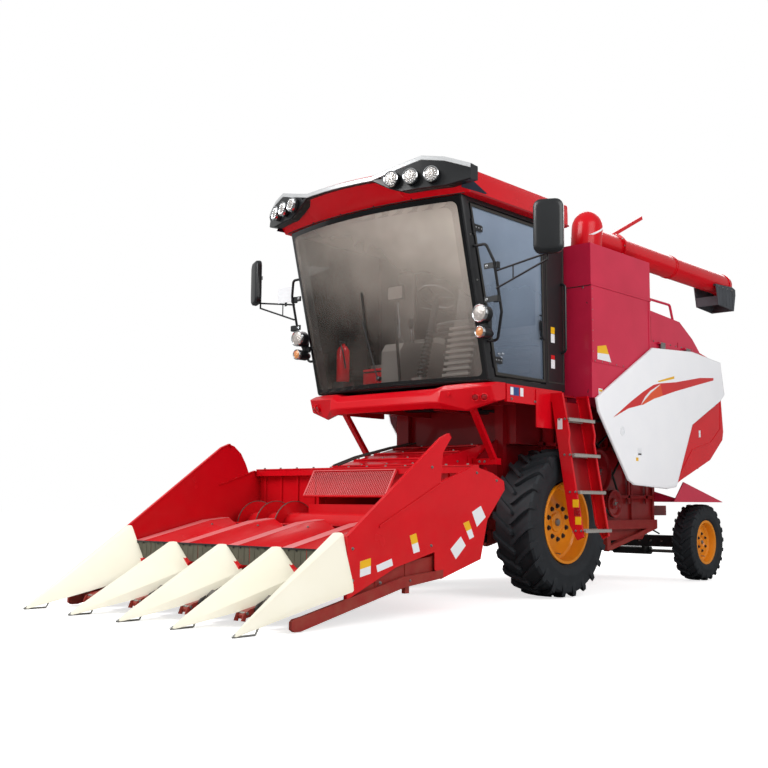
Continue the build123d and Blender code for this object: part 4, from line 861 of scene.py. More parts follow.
# ---------------------------------------------------------------------------- wheels
@dataclass
class FarmWheel(Assembly):
    """A lugged tyre on its dished disc wheel."""

    end: str
    hand: str
    centre: Triple
    radius: float
    width: float
    rim_radius: float
    lugs: int
    lug_height: float
    lug_width: float
    hub_radius: float
    bolt_circle: float
    bolts: int
    bolt_size: float
    barrel_depth: float  # how far the hub's barrel reaches inwards

    @property
    def side(self) -> int:
        """Which way is out: 1 on the machine's left."""
        return 1 if self.centre[0] > 0 else -1

    @property
    def half(self) -> float:
        """Half the tyre's width."""
        return self.width / 2

    @property
    def wall(self) -> float:
        """The tyre's height over its rim."""
        return self.radius - self.rim_radius

    @property
    def base(self) -> float:
        """The tread's radius between its lugs."""
        return self.radius - self.lug_height

    def point(self, x: float, radius: float, angle: float) -> Triple:
        """A point by its place along the axle, its radius and its angle up from the front."""
        y, z = polar((0, 0), radius, angle)
        return (self.centre[0] + x, self.centre[1] - y, self.centre[2] + z)

    def carcass(self) -> list[Pair]:
        """The tyre's section below its lugs, from bead to bead.

        Returns:
            Pairs of place along the axle and radius.
        """
        bead = self.half - 0.16 * self.width
        shares = ((0.93, 0.17), (0.985, 0.34), (0.992, 0.40), (0.978, 0.43), (0.975, 0.60))
        outer = [(bead, self.rim_radius), (bead + 8, self.rim_radius + 0.05 * self.wall)]
        outer += [(x * self.half, self.rim_radius + r * self.wall) for x, r in shares]
        outer += [(x * self.half, self.base - r * self.wall) for x, r in ((0.93, 0.06), (0.84, 0.01))]
        outer += [(0.5 * self.half, self.base + 1), (0, self.base + 3)]
        return outer + [(-x, r) for x, r in reversed(outer[:-1])]

    def lug(self, tyre: Piece, angle: float, hand: int) -> None:
        """One tread bar, from the middle of the tread to down over the shoulder.

        Args:
            tyre: the piece that it joins.
            angle: where it starts in the middle of the tread.
            hand: which half of the tread it lies on.
        """
        rim, wall, base = self.rim_radius, self.wall, self.base
        stations = (
            # share of the half width, arc share, top radius, foot radius, width factor
            (-0.05, 0.00, self.radius, base - 6, 0.72),
            (0.10, 0.13, self.radius, base - 6, 1.0),
            (0.45, 0.50, self.radius - 1, base - 6, 0.92),
            (0.75, 0.80, self.radius - 4, base - 8, 1.0),
            (0.93, 0.97, self.radius - 10, base - 0.10 * wall, 1.25),
            (0.995, 1.02, base - 0.04 * wall, rim + 0.60 * wall, 1.3),
            (0.99, 1.04, rim + 0.62 * wall, rim + 0.52 * wall, 1.0),
        )
        arc_angle = 0.82 * self.half / self.radius
        loops = []
        for across, arc, top, foot, factor in stations:
            x = hand * across * self.half
            inset = hand * 0.03 * self.half if across > 0.9 else 0.0
            here = angle + arc * arc_angle
            wide = factor * self.lug_width / 2 / self.radius
            lower = [self.point(x - inset, foot, here + turn * wide * 1.25) for turn in SIDES]
            loops.append(lower + [self.point(x, top, here - turn * wide) for turn in SIDES])
        tyre.loft(loops)

    def piece_of(self, part: str, slot: str, finishes: str) -> Piece:
        """Starts a piece that rides on this wheel."""
        body = f"wheel_{self.end}_{self.hand}"
        return self.piece(f"{self.end}_{self.hand}_{part}", slot, finishes, body)

    def tyre(self) -> None:
        """The tyre with both rows of lugs."""
        piece = self.piece_of("lugged_tyre", "tyre_rubber", "tyre_rubber")
        piece.turn(self.carcass(), self.centre, sides=96)
        pitch = math.tau / self.lugs
        for i in range(self.lugs):
            self.lug(piece, i * pitch, 1)
            self.lug(piece, (i + 0.5) * pitch, -1)
        piece.make(crease=30, replaces=[f"{self.end}_tyre_{self.hand}"])

    def disc(self) -> None:
        """The dished disc with its barrel, hub, bolts and valve."""
        lip, bead, face = (self.half - share * self.width for share in (0.09, 0.16, 0.42))
        seat, barrel = self.rim_radius - 1, self.rim_radius - 26
        hub, crown = self.hub_radius, self.hub_radius + 60
        profile = [(-lip, seat - 12), (-lip, seat + 15), (-bead - 10, seat + 15), (-bead, seat), (bead, seat)]
        profile += [(bead + 10, seat + 15), (lip, seat + 15), (lip, seat - 12), (bead + 4, seat - 18)]
        profile += [(bead - 24, barrel), (face + 16, barrel - 2), (face, barrel - 22), (face, crown + 50)]
        profile += [
            (face + 26, crown), (face + 26, hub + 14), (face + 6, hub), (face + 6, 20), (face - 12, 20),
        ]
        profile += [(face - 12, hub), (face + 10, crown), (face - 16, crown + 46), (face - 16, barrel - 8)]
        profile += [(-bead + 24, barrel - 4)]
        piece = self.piece_of("disc_wheel", "rim_yellow", "yellow_wheel_enamel cast_iron galvanised_steel")
        piece.turn([(self.side * a, r) for a, r in profile], self.centre, sides=72)
        x, y, z = self.centre
        out = (self.side, 0, 0)
        boss = [(face, 0), (face, hub * 0.8), (face + 22, hub * 0.72), (face + 30, 0)]
        piece.turn(boss, self.centre, out, 36)
        cap = [(face + 22, 0), (face + 22, hub * 0.34), (face + 40, hub * 0.28), (face + 44, 0)]
        piece.turn(cap, self.centre, out, 24, 2)
        inner = [(face - 12, 0), (face - 12, hub), (-self.barrel_depth, hub), (-self.barrel_depth, 0)]
        piece.turn([(self.side * a, r) for a, r in inner], self.centre, sides=36)
        seat_x = x + self.side * (face + (26 if self.bolt_circle < crown else 12))
        for i in range(self.bolts):
            spot = polar((y, z), self.bolt_circle, math.tau * (i + 0.5) / self.bolts)
            piece.bolt((seat_x, *spot), out, self.bolt_size, 1)
        valve = [(x + self.side * (face + reach), y, z - barrel + low) for reach, low in ((10, 60), (60, 52))]
        piece.tube(valve, 6, 2, 8)
        piece.make(bevel=3, crease=38, replaces=[f"{self.end}_rim_{self.hand}"])

    def build(self) -> None:
        """Builds the tyre and its disc."""
        self.tyre()
        self.disc()


def farm_wheels(palette: Palette) -> Iterator[FarmWheel]:
    """The machine's four wheels.

    Args:
        palette: the finishes.

    Yields:
        Each wheel, from the front left.
    """
    for side, hand in ((1, "left"), (-1, "right")):
        sizes = (715, 430, 380, 23, 40, 46, 120, 160, 10, 30, 60)
        yield FarmWheel(palette, "front", hand, (side * 1030, 0, 715), *sizes)
        sizes = (450, 260, 245, 22, 28, 32, 70, 100, 6, 22, 30)
        yield FarmWheel(palette, "rear", hand, (side * 985, 3230, 450), *sizes)


# ------------------------------------------------------------------------------- cab
@dataclass(frozen=True)
class Arc:
    """A plan arc that bulges forward between its two ends."""

    half: float
    bulge: float
    side_y: float

    @property
    def radius(self) -> float:
        """The arc's radius."""
        return (self.half**2 + self.bulge**2) / (2 * self.bulge)

    def y(self, x: float) -> float:
        """The arc's front at x."""
        return self.side_y - self.bulge + self.radius - math.sqrt(self.radius**2 - x * x)

    def outward(self, x: float) -> Triple:
        """The direction that the arc faces at x."""
        return (x / self.radius, -math.sqrt(1 - (x / self.radius) ** 2), 0.0)


@dataclass
class LampVisor(Assembly):
    """Black moulded visor over the windshield with a silver strip and six work lamps."""

    arc: Arc = Arc(1340, 370, -1640)
    base: float = 3650
    depth: float = 110
    lamp_places: tuple[float, ...] = (640, 820, 1000)
    lamp_z: float = 3775
    lamp_radius: float = 68
    top: Outline = ((0, 190), (420, 190), (650, 245), (900, 315), (1100, 285), (1306, 210))
    low: Outline = ((0, 145), (430, 140), (595, 50), (720, 5), (1110, 20), (1306, 70))

    def stations(self) -> list[float]:
        """Places along the visor, dense enough for its curve and at every corner."""
        corners = {side * x for x, _ in self.top + self.low for side in SIDES}
        return sorted(corners | {step * 65.0 for step in range(-19, 20)})

    def shell(self) -> None:
        """The moulded body: a slightly hollow face, rolled edges and deep lamp pods."""
        piece = self.piece("visor_shell", "black_plastic", "black_abs_plastic silver_trim")
        body, strip = [], []
        for x in self.stations():
            y, high, low = self.arc.y(x), *(self.base + along(edge, abs(x)) for edge in (self.top, self.low))
            dish = min(14.0, (high - low) * 0.06)
            loop = [(14, low), (2, low + 8), (2 + dish, (low + high) / 2), (2, high - 44), (6, high - 4)]
            loop += [(16, high - 1), (self.depth, high - 8), (self.depth, low + 6)]
            body.append([(x, y + back, z) for back, z in loop])
            loop = ((4, -42), (-3, -38), (-3, -8), (3, 0), (30, 1), (30, -6), (10, -10))
            strip.append([(x, y + back, high + rise) for back, rise in loop])
        piece.loft(body)
        piece.loft(strip, 1)
        piece.make(replaces=["visor"])

    def lamp(self, piece: Piece, x: float) -> None:
        """One round lamp in its pod: cup, chrome bezel, lens and its ribs.

        Args:
            piece: the piece to add to.
            x: the lamp's middle across the visor.
        """
        out = self.arc.outward(x)
        spot = (x, self.arc.y(x), self.lamp_z)
        r = self.lamp_radius
        cup = [(-26, 0), (-26, r * 0.8), (-4, r + 4), (34, r + 4), (38, r), (34, r - 5), (6, r - 12), (6, 0)]
        bezel = [(32, r + 5), (50, r + 4), (56, r - 3), (50, r - 10), (40, r - 10), (36, r - 3)]
        lens = [(38, 0), (40, r - 9), (48, r - 9), (53, r * 0.6), (56, r * 0.25), (57, 0)]
        for finish, profile in enumerate((cup, bezel, lens)):
            piece.turn(profile, spot, out, 28, finish)
        for share, count in ((0.34, 8), (0.68, 14)):
            facet = [(52, 0), (52, 8), (58 - 4 * share, 5), (60 - 4 * share, 0)]
            for i in range(count):
                across, rise = polar((0, 0), r * share, math.tau * i / count)
                dot = (x - out[1] * across, spot[1] + out[0] * across, self.lamp_z + rise)
                piece.turn(facet, dot, out, 6, 1)

    def build(self) -> None:
        """Builds the visor and its lamps."""
        self.shell()
        piece = self.piece(
            "round_work_lamps", "lamp_plastic", "black_abs_plastic hard_chrome clear_lamp_lens",
        )
        for x in self.lamp_places:
            self.lamp(piece, x)
            self.lamp(piece, -x)
        piece.make(crease=30, replaces=["work_lamps"])


@dataclass
class RoofCap(Assembly):
    """Red roof: a brow that slants back to the windshield, rolled top edges and a rear hatch."""

    half: float = 1200
    rear_y: float = 110
    base: float = 3650
    brow: float = 145
    height: float = 220

    def plan(self, inset: float, arc: Arc, rear_inset: float, z: float, corner: float = 40) -> list[Triple]:
        """One level of the roof, front arc first, drawn in at its sides and its rear.

        Args:
            inset: how far the sides come in.
            arc: the front edge.
            rear_inset: how far the rear comes in.
            z: the level's height.
            corner: size of the rear corners.

        Returns:
            The loop of points.
        """
        half, rear = self.half - inset, self.rear_y - rear_inset
        front = [(x, arc.y(x)) for x in (half * (i / 16 - 1) for i in range(33))]
        bend = [(half, rear - corner), (half - corner * 0.3, rear - corner * 0.3), (half - corner, rear)]
        return [(x, y, z) for x, y in front + bend + [(-x, y) for x, y in reversed(bend)]]

    def build(self) -> None:
        """Builds the cap, the dark patch painted on its sides as the lamp pod's shade, its soffit seal and
        hatch.
        """
        finishes = "red_gloss_enamel blue_black_gloss moulded_rubber dull_red_enamel"
        piece = self.piece("cab_roof_cap", "body_red", finishes)
        soffit = Arc(self.half, 190, -1530)
        top = self.base + self.height
        levels = (
            # inset at the sides, front bulge, its ends' y, inset at the rear, height
            (0, 190, -1530, 0, self.base), (0, 292, -1668, 0, self.base + self.brow),
            (0, 292, -1668, 0, top - 16), (5, 292, -1661, 5, top - 5), (18, 292, -1648, 18, top),
            (320, 200, -1500, 300, top + 6),
        )
        piece.loft([self.plan(a, Arc(self.half, bulge, y), b, z) for a, bulge, y, b, z in levels])
        for side in SIDES:
            # A blue-black patch on each side: painted shade under the lamp pod.
            painted_shade_patch = [(-1655, 3664), (-1600, 3757), (-1467, 3757), (-1270, 3690), (-1300, 3676)]
            piece.prism(painted_shade_patch, Axis.X, side * (self.half + 0.4), side * (self.half - 2), 1)
            rear = self.rear_y - 10
            # A strip low on each side, in the red darkened as painted shade.
            lip = [(-1515, 3664), (-1515, 3651), (rear, 3651), (rear, 3668), (-1400, 3668)]
            piece.prism(lip, Axis.X, side * (self.half + 1.5), side * (self.half - 3), 3)
        seal = [(x, soffit.y(x) + 6, self.base + 1) for x in (1150 * (i / 12 - 1) for i in range(25))]
        piece.tube(seal, 7, 2, 6)
        screws = ((x, soffit.y(x) - 2, self.base + 8) for x in (-640, -215, 215, 640))
        piece.bolts(screws, (0, -1, 0.35), 14, 1)
        piece.box((-420, -900, top + 2), (420, -260, top + 5), 1)
        for y in range(-850, -270, 68):
            rib = [(y, top + 3), (y + 34, top + 3), (y + 44, top + 5.5), (y + 6, top + 5.5)]
            piece.prism(rib, Axis.X, -380, 380, 2)
        piece.make(bevel=2.5, crease=34, replaces=["cab_roof"])


@dataclass
class Windshield(Assembly):
    """The leaning curved glass: its black printed border, seal, wiper and pillar covers."""

    half: float = 1090
    bulge: float = 170
    foot: Pair = (-1133, 2040)
    head: Pair = (-1543, 3650)
    low: float = 2012
    high: float = 3638

    def lean(self, z: float) -> float:
        """How far forward the glass's ends are at a height."""
        share = (z - self.foot[1]) / (self.head[1] - self.foot[1])
        return self.foot[0] + share * (self.head[0] - self.foot[0])

    def on(self, x: float, z: float, proud: float = 0.0) -> Triple:
        """A point on the glass's outside, moved out by `proud`."""
        return (x, Arc(self.half, self.bulge, self.lean(z)).y(x) - proud, z)

    def ring(self, side: float, head: float, sill: float, radius: float, count: int = 12) -> list[Pair]:
        """A round-cornered outline on the glass, `side`, `head` and `sill` in from its edges.

        Args:
            side: inset from both sides.
            head: inset from the top.
            sill: inset from the foot.
            radius: of the corners.
            count: points along each straight edge.

        Returns:
            Pairs of place across the glass and height.
        """
        left, right = -self.half + side + radius, self.half - side - radius
        low, high = self.low + sill + radius, self.high - head - radius
        corners = ((right, high), (left, high), (left, low), (right, low))
        bends = [
            [polar(corner, radius, math.tau * (k / 4 + i / 24)) for i in range(7)]
            for k, corner in enumerate(corners)
        ]
        points = []
        for bend, following in zip(bends, bends[1:] + bends[:1]):
            (a, b), (c, d) = bend[-1], following[0]
            points += bend + [(a + (c - a) * i / count, b + (d - b) * i / count) for i in range(1, count)]
        return points

    def border(self, piece: Piece) -> None:
        """The black print round the glass, and the paler fading dots inside its top edge.

        Args:
            piece: the piece to add to.
        """
        rings = ((0, 0, 0, 8), (34, 46, 30, 60), (92, 96, 60, 60))
        outer, inner, fade = (self.ring(*insets) for insets in rings)
        for pair, proud, finish in (((outer, inner), 1.2, 0), ((inner, fade), 1.0, 4)):
            piece.loft([[self.on(x, z, proud) for x, z in ring] for ring in pair], finish, False)

    def wiper(self, piece: Piece) -> None:
        """A long arm from its motor under the glass, parked nearly upright, with its blade.

        Args:
            piece: the piece to add to.
        """
        piece.turn([(0, 0), (0, 26), (34, 20), (40, 0)], self.on(-60, 2080, 2), (0, -1, 0.2), 16, 1)
        arm = [self.on(-60 - 90 * t, 2080 + 560 * t, 34 - 14 * t) for t in (i / 8 for i in range(9))]
        piece.bar(arm, 16, 8, 1)
        piece.bar([self.on(-150 + 4 * i, 2380 + 58 * i, 9) for i in range(10)], 10, 14, 2)

    def build(self) -> None:
        """Builds everything that sits on the glass."""
        finishes = "black_ceramic_border black_powder_coat moulded_rubber galvanised_steel frit_dots"
        piece = self.piece("windshield_border_and_wiper", "black_plastic", finishes)
        self.border(piece)
        self.wiper(piece)
        section = ((1084, -3), (1104, 4), (1112, 20), (1112, 74), (1101, 78), (1088, 20))
        levels = [self.low + (self.high - self.low) * i / 8 for i in range(9)]
        for side in SIDES:
            piece.loft([[(side * x, self.lean(z) + back, z) for x, back in section] for z in levels], 1)
            screws = ((side * 1112, self.lean(z) + 45, z) for z in (2500, 2900, 3300))
            piece.bolts(screws, (side, 0, 0), 11, 3)
        piece.make(crease=30)


@dataclass
class CabInside(Assembly):
    """What shows through the glass: trim, wheel, levers, console, monitor and extinguisher."""

    driver_x: float = 240
    floor_z: float = 2040
    wheel: Triple = (240, -800, 2920)

    def trim(self) -> None:
        """Floor mat, rear wall lining, ceiling lining and the ridged door-side box."""
        finishes = "grey_cab_trim moulded_rubber black_abs_plastic pale_cab_cloth"
        piece = self.piece("cab_inner_trim", "black_plastic", finishes)
        z = self.floor_z
        piece.box((-1020, -1080, z), (1020, 80, z + 8), 1)
        for x in range(-990, 1000, 92):
            piece.box((x, -1060, z + 7), (x + 34, 60, z + 12), 1)
        piece.box((-1035, 60, z + 8), (1035, 86, 2690))
        for x in (-1035, 815):
            piece.box((x, 60, 2690), (x + 220, 86, 3460))
        for low in range(90, 571, 80):
            piece.box((-760, 46, z + low), (760, 62, z + low + 40))
        piece.box((-1030, -1380, 3600), (1030, 80, 3622))
        piece.prism([(-1420, 3520), (-1250, 3500), (-1180, 3602), (-1420, 3602)], Axis.X, -640, 640)
        piece.prism([(-1010, z + 10), (-560, z + 10), (-600, z + 600), (-860, z + 600)], Axis.X, 500, 760)
        for i in range(9):
            y, low = -1016 + i * 14, z + 50 + i * 58
            piece.box((470, y, low), (790, y + 30, low + 26), 3)
        piece.make(bevel=5, crease=30)

    def steering(self) -> None:
        """Steering wheel with a moulded rim, three spokes and a horn boss, on a booted column."""
        finishes = "black_abs_plastic moulded_rubber grey_cab_trim"
        piece = self.piece("steering_wheel_and_column", "black_plastic", finishes)
        tilt = Vector((0, 0.45, 0.9)).normalized()
        side = Vector(LEFT)
        up = tilt.cross(side)
        centre = Vector(self.wheel)
        loops = []
        for out in (side * math.cos(a) + up * math.sin(a) for a in (math.tau * i / 40 for i in range(40))):
            loops.append([tuple(centre + out * (190 + a) + tilt * b) for a, b in self.rim_section()])
        piece.loft(loops, ring=True)
        for angle in (0.25, 2.9, 4.71):
            end = centre + (side * math.cos(angle) + up * math.sin(angle)) * 182
            piece.bar([tuple(centre - tilt * 10), tuple((centre + end) / 2 - tilt * 6), tuple(end)], 30, 10)
        piece.turn([(-34, 0), (-34, 40), (4, 52), (14, 40), (16, 0)], self.wheel, tuple(tilt), 24)
        foot = Vector((self.driver_x, -1060, self.floor_z + 20))
        span = centre - foot
        for i in range(12):
            low = (0.06 + i * 0.045) * span.length
            high = low + 0.03 * span.length
            fold = [(low, 36), ((low + high) / 2, 58 - i), (high, 36), (high, 30), (low, 30)]
            piece.turn(fold, tuple(foot), tuple(span), 18, 1)
        piece.tube([tuple(foot), tuple(centre - tilt * 30)], 34, 0, 14)
        stalk = foot + span * 0.84
        piece.tube([tuple(stalk), tuple(stalk + Vector((-150, -20, 40)))], 8, 0, 8)
        x, z = self.driver_x, self.floor_z
        piece.box((x - 62, -1120, z), (x + 62, -1000, z + 52), 2)
        piece.make(bevel=3, replaces=["steering_column"])

    def rim_section(self) -> list[Pair]:
        """The steering rim's section, outwards and along its axis."""
        return [(14 * math.cos(b), 15 * math.sin(b)) for b in (math.tau * k / 8 for k in range(8))]

    def console(self) -> None:
        """Side console with a sloping top, boots, levers, switches and the monitor."""
        finishes = "grey_cab_trim black_abs_plastic moulded_rubber hard_chrome pale_cab_cloth"
        piece = self.piece("lever_console", "black_plastic", finishes)
        z = self.floor_z
        side = [(-896, z), (-896, 2420), (-840, 2500), (-300, 2560), (-160, 2540), (-160, z)]
        piece.prism(side, Axis.X, -418, -162)
        piece.box((-424, -870, 2180), (-414, -200, 2360), 1)
        boot = [(0, 0), (0, 46), (14, 42), (20, 32), (34, 34), (42, 22), (60, 20), (70, 0)]
        grip = [(0, 0), (0, 16), (30, 26), (80, 30), (110, 24), (122, 0)]
        for x, y, height, lean in ((-250, -800, 3010, -40), (-340, -720, 2790, -30), (-230, -640, 2760, -20)):
            piece.turn(boot, (x, y, 2500), UP, 16, 2)
            piece.tube([(x, y, 2540), (x, y + lean, height - 60)], 9, 3, 8)
            piece.turn(grip, (x, y + lean, height - 90), (0, 0.1, 1), 14, 1)
        for x, y in ((x, y) for y in (-560, -510) for x in (-390, -360, -330, -300)):
            piece.box((x, y, 2520), (x + 20, y + 34, 2545), 1)
        piece.tube([(-130, -930, z + 10), (-130, -1010, 2700), (-120, -1010, 2960)], 16, 1, 10)
        piece.box((-220, -1035, 2900), (-10, -1005, 3050), 1)
        piece.box((-208, -1037, 2914), (-22, -1033, 3038), 4)
        piece.make(bevel=4, replaces=["control_console"])

    def extinguisher(self) -> None:
        """A red extinguisher in its bracket and a low tool box by the far pillar."""
        finishes = "red_gloss_enamel black_abs_plastic grey_cab_trim pale_cab_cloth"
        piece = self.piece("extinguisher_and_box", "body_red", finishes)
        z = self.floor_z + 10
        bottle = [(0, 0), (0, 62), (16, 68), (330, 68), (372, 46), (392, 20), (410, 18), (410, 0)]
        piece.turn(bottle, (-930, -930, z + 90), UP, 20)
        piece.box((-950, -990, z + 500), (-910, -900, z + 524), 1)
        piece.tube([(-930, -990, z + 512), (-870, -1000, z + 420), (-862, -960, z + 230)], 9, 1, 8)
        piece.box((-1010, -1010, z), (-850, -850, z + 90), 1)
        piece.box((-800, -760, z), (-470, -420, z + 230))
        piece.box((-806, -766, z + 190), (-464, -414, z + 206), 1)
        piece.box((-880, -560, z + 236), (-480, -120, z + 300), 2)
        piece.box((-880, -190, z + 300), (-480, -110, z + 560), 3)
        piece.make(bevel=9)

    def seat(self) -> None:
        """The driver's seat: crowned cloth cushions with piped seams, on a bellows base."""
        x, z = self.driver_x, self.floor_z
        base = self.piece("seat_base", "black_plastic", "moulded_rubber black_abs_plastic")
        for i in range(9):
            low, inset = z + 50 + i * 56, i * 2
            base.box((x - 148 + inset, -546 + inset, low), (x + 148 - inset, -254 - inset, low + 30))
            base.box((x - 126, -524, low + 28), (x + 126, -276, low + 58))
        base.box((x - 150, -550, z), (x + 150, -250, z + 52), 1)
        base.box((x - 215, -610, 2572), (x + 215, -190, 2604), 1)
        for side in SIDES:
            rail = [(x + side * 240, -190, 2640), (x + side * 244, -180, 2850), (x + side * 244, -440, 2870)]
            base.tube(rounded(rail, 60), 14, 1, 8)
            base.box((x + side * 244 - 28, -480, 2870), (x + side * 244 + 28, -240, 2906), 1)
        base.make(bevel=8, crease=30)
        self.cushion("seat_squab", (x, -400, 2664), (238, 218, 58), 0.0)
        self.cushion("seat_backrest", (x, -178, 2980), (226, 50, 300), math.radians(-9))

    def cushion(self, name: str, centre: Triple, half: Triple, tilt: float) -> None:
        """One padded cushion with rounded corners, a crown and two sewn channels.

        Args:
            name: the piece's name.
            centre: its middle, in millimetres.
            half: half its width, depth and height.
            tilt: lean about the X axis in radians.
        """
        mesh = bmesh.new()
        bmesh.ops.create_cube(mesh, size=2.0)
        bmesh.ops.subdivide_edges(mesh, edges=mesh.edges[:], cuts=17, use_grid_fill=True)
        thin = 2 if half[2] < half[1] else 1
        wide = (0, 3 - thin)
        lean = Matrix.Rotation(tilt, 3, "X")
        for vert in mesh.verts:
            spot = Vector(vert.co)
            size = max(abs(c) ** 4 for c in spot)
            length = sum(abs(c) ** 5 for c in spot) ** 0.2
            spot = spot / max(length, 1e-6) * max(size**0.25, 1e-6)
            u, v = spot[wide[0]], spot[wide[1]]
            crown = 1 + 0.22 * (1 - u * u) * (1 - v * v)
            groove = 0.13 * math.exp(-(((abs(u) - 0.52) / 0.05) ** 2)) + 0.10 * math.exp(-((v / 0.05) ** 2))
            seam = 0.05 * math.exp(-((spot[thin] / 0.12) ** 2)) * (1 if max(abs(u), abs(v)) > 0.9 else 0)
            spot[thin] *= crown - groove
            spot *= 0.94
            for k in wide:
                spot[k] *= 1 - seam
            vert.co = at(tuple(Vector(centre) + lean @ Vector([spot[k] * half[k] for k in range(3)])))
        bmesh.ops.recalc_face_normals(mesh, faces=mesh.faces)
        data = bpy.data.meshes.new(name)
        mesh.to_mesh(data)
        mesh.free()
        data.polygons.foreach_set("use_smooth", [True] * len(data.polygons))
        data.materials.append(self.palette["charcoal_seat_cloth"])
        made = add_object(name, data)
        smooth = made.modifiers.new("soft_surface", "SUBSURF")
        smooth.levels = smooth.render_levels = 1
        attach(made, "chassis")
        if name == "seat_squab":
            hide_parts("seat")
        LOG.info("%s: padded cushion", name)

    def build(self) -> None:
        """Builds the whole inside."""
        self.trim()
        self.steering()
        self.console()
        self.extinguisher()
        self.seat()


@dataclass
class CabDoor(Assembly):
    """The glass door's seal, latch, grip and hinge covers, which swing with it."""

    lean: float = (-1535 + 1125) / 1610

    def front(self, z: float) -> float:
        """The door frame's front edge at a height."""
        return -1125 + self.lean * (z - 2040) + 116

    def build(self) -> None:
        """Builds the door's fittings."""
        finishes = "black_abs_plastic moulded_rubber hard_chrome"
        piece = self.piece("door_fittings", "black_plastic", finishes, "cab_door")
        low, high = 2064, 3592
        foot, head = self.front(low), self.front(high)
        outer = [(foot, low), (head, high), (-236, high), (-201, low)]
        inner = [(foot + 30, low + 26), (head + 28, high - 26), (-262, high - 26), (-230, low + 26)]
        piece.frame(outer, inner, Axis.X, 1101, 1107, 1)
        for z in (2200, 3380):
            y = self.front(z)
            piece.box((1104, y - 8, z - 26), (1113, y + 128, z + 26))
            piece.bolts(((1112, y + step, z) for step in (20, 60, 100)), LEFT, 13, 2)
        piece.box((1104, -296, 2560), (1118, -236, 2660))
        grip = [(1110, -300, 2480), (1140, -300, 2490), (1142, -300, 2700), (1110, -300, 2712)]
        bar = [(1084, -960, 2300), (1060, -960, 2320), (1060, -330, 2420), (1084, -300, 2410)]
        for run in (grip, bar):
            piece.tube(rounded(run, 30), 9, 0, 8)
        piece.bolts(((1100, -960, 2262), (1100, -930, 2230), (1100, -900, 2270)), LEFT, 16, 2)
        piece.make(bevel=2)


@dataclass
class RearPillar(Assembly):
    """Black panel between the door and the tank, with blank plates and a grab bar."""

    def build(self) -> None:
        """Builds the panel's seams, plates and bar."""
        finishes = "black_abs_plastic white_vinyl yellow_vinyl scarlet_vinyl moulded_rubber"
        piece = self.piece("rear_pillar_plates", "black_plastic", finishes)
        for side in SIDES:
            rim = [(-150, 2070), (-186, 3580), (130, 3580), (130, 2070)]
            edge = [(-138, 2082), (-174, 3568), (118, 3568), (118, 2082)]
            piece.frame(rim, edge, Axis.X, side * 1099, side * 1104, 4)
        for low, high, finish in ((2560, 2625, 2), (2470, 2556, 1), (2305, 2345, 3), (2215, 2302, 1)):
            piece.box((1101, -96, low), (1102.5, -30, high), finish)
        bar = [(1104, 96, 2380), (1150, 96, 2400), (1150, 96, 3060), (1104, 96, 3080)]
        piece.tube(rounded(bar, 40), 13, 0, 10)
        piece.make()


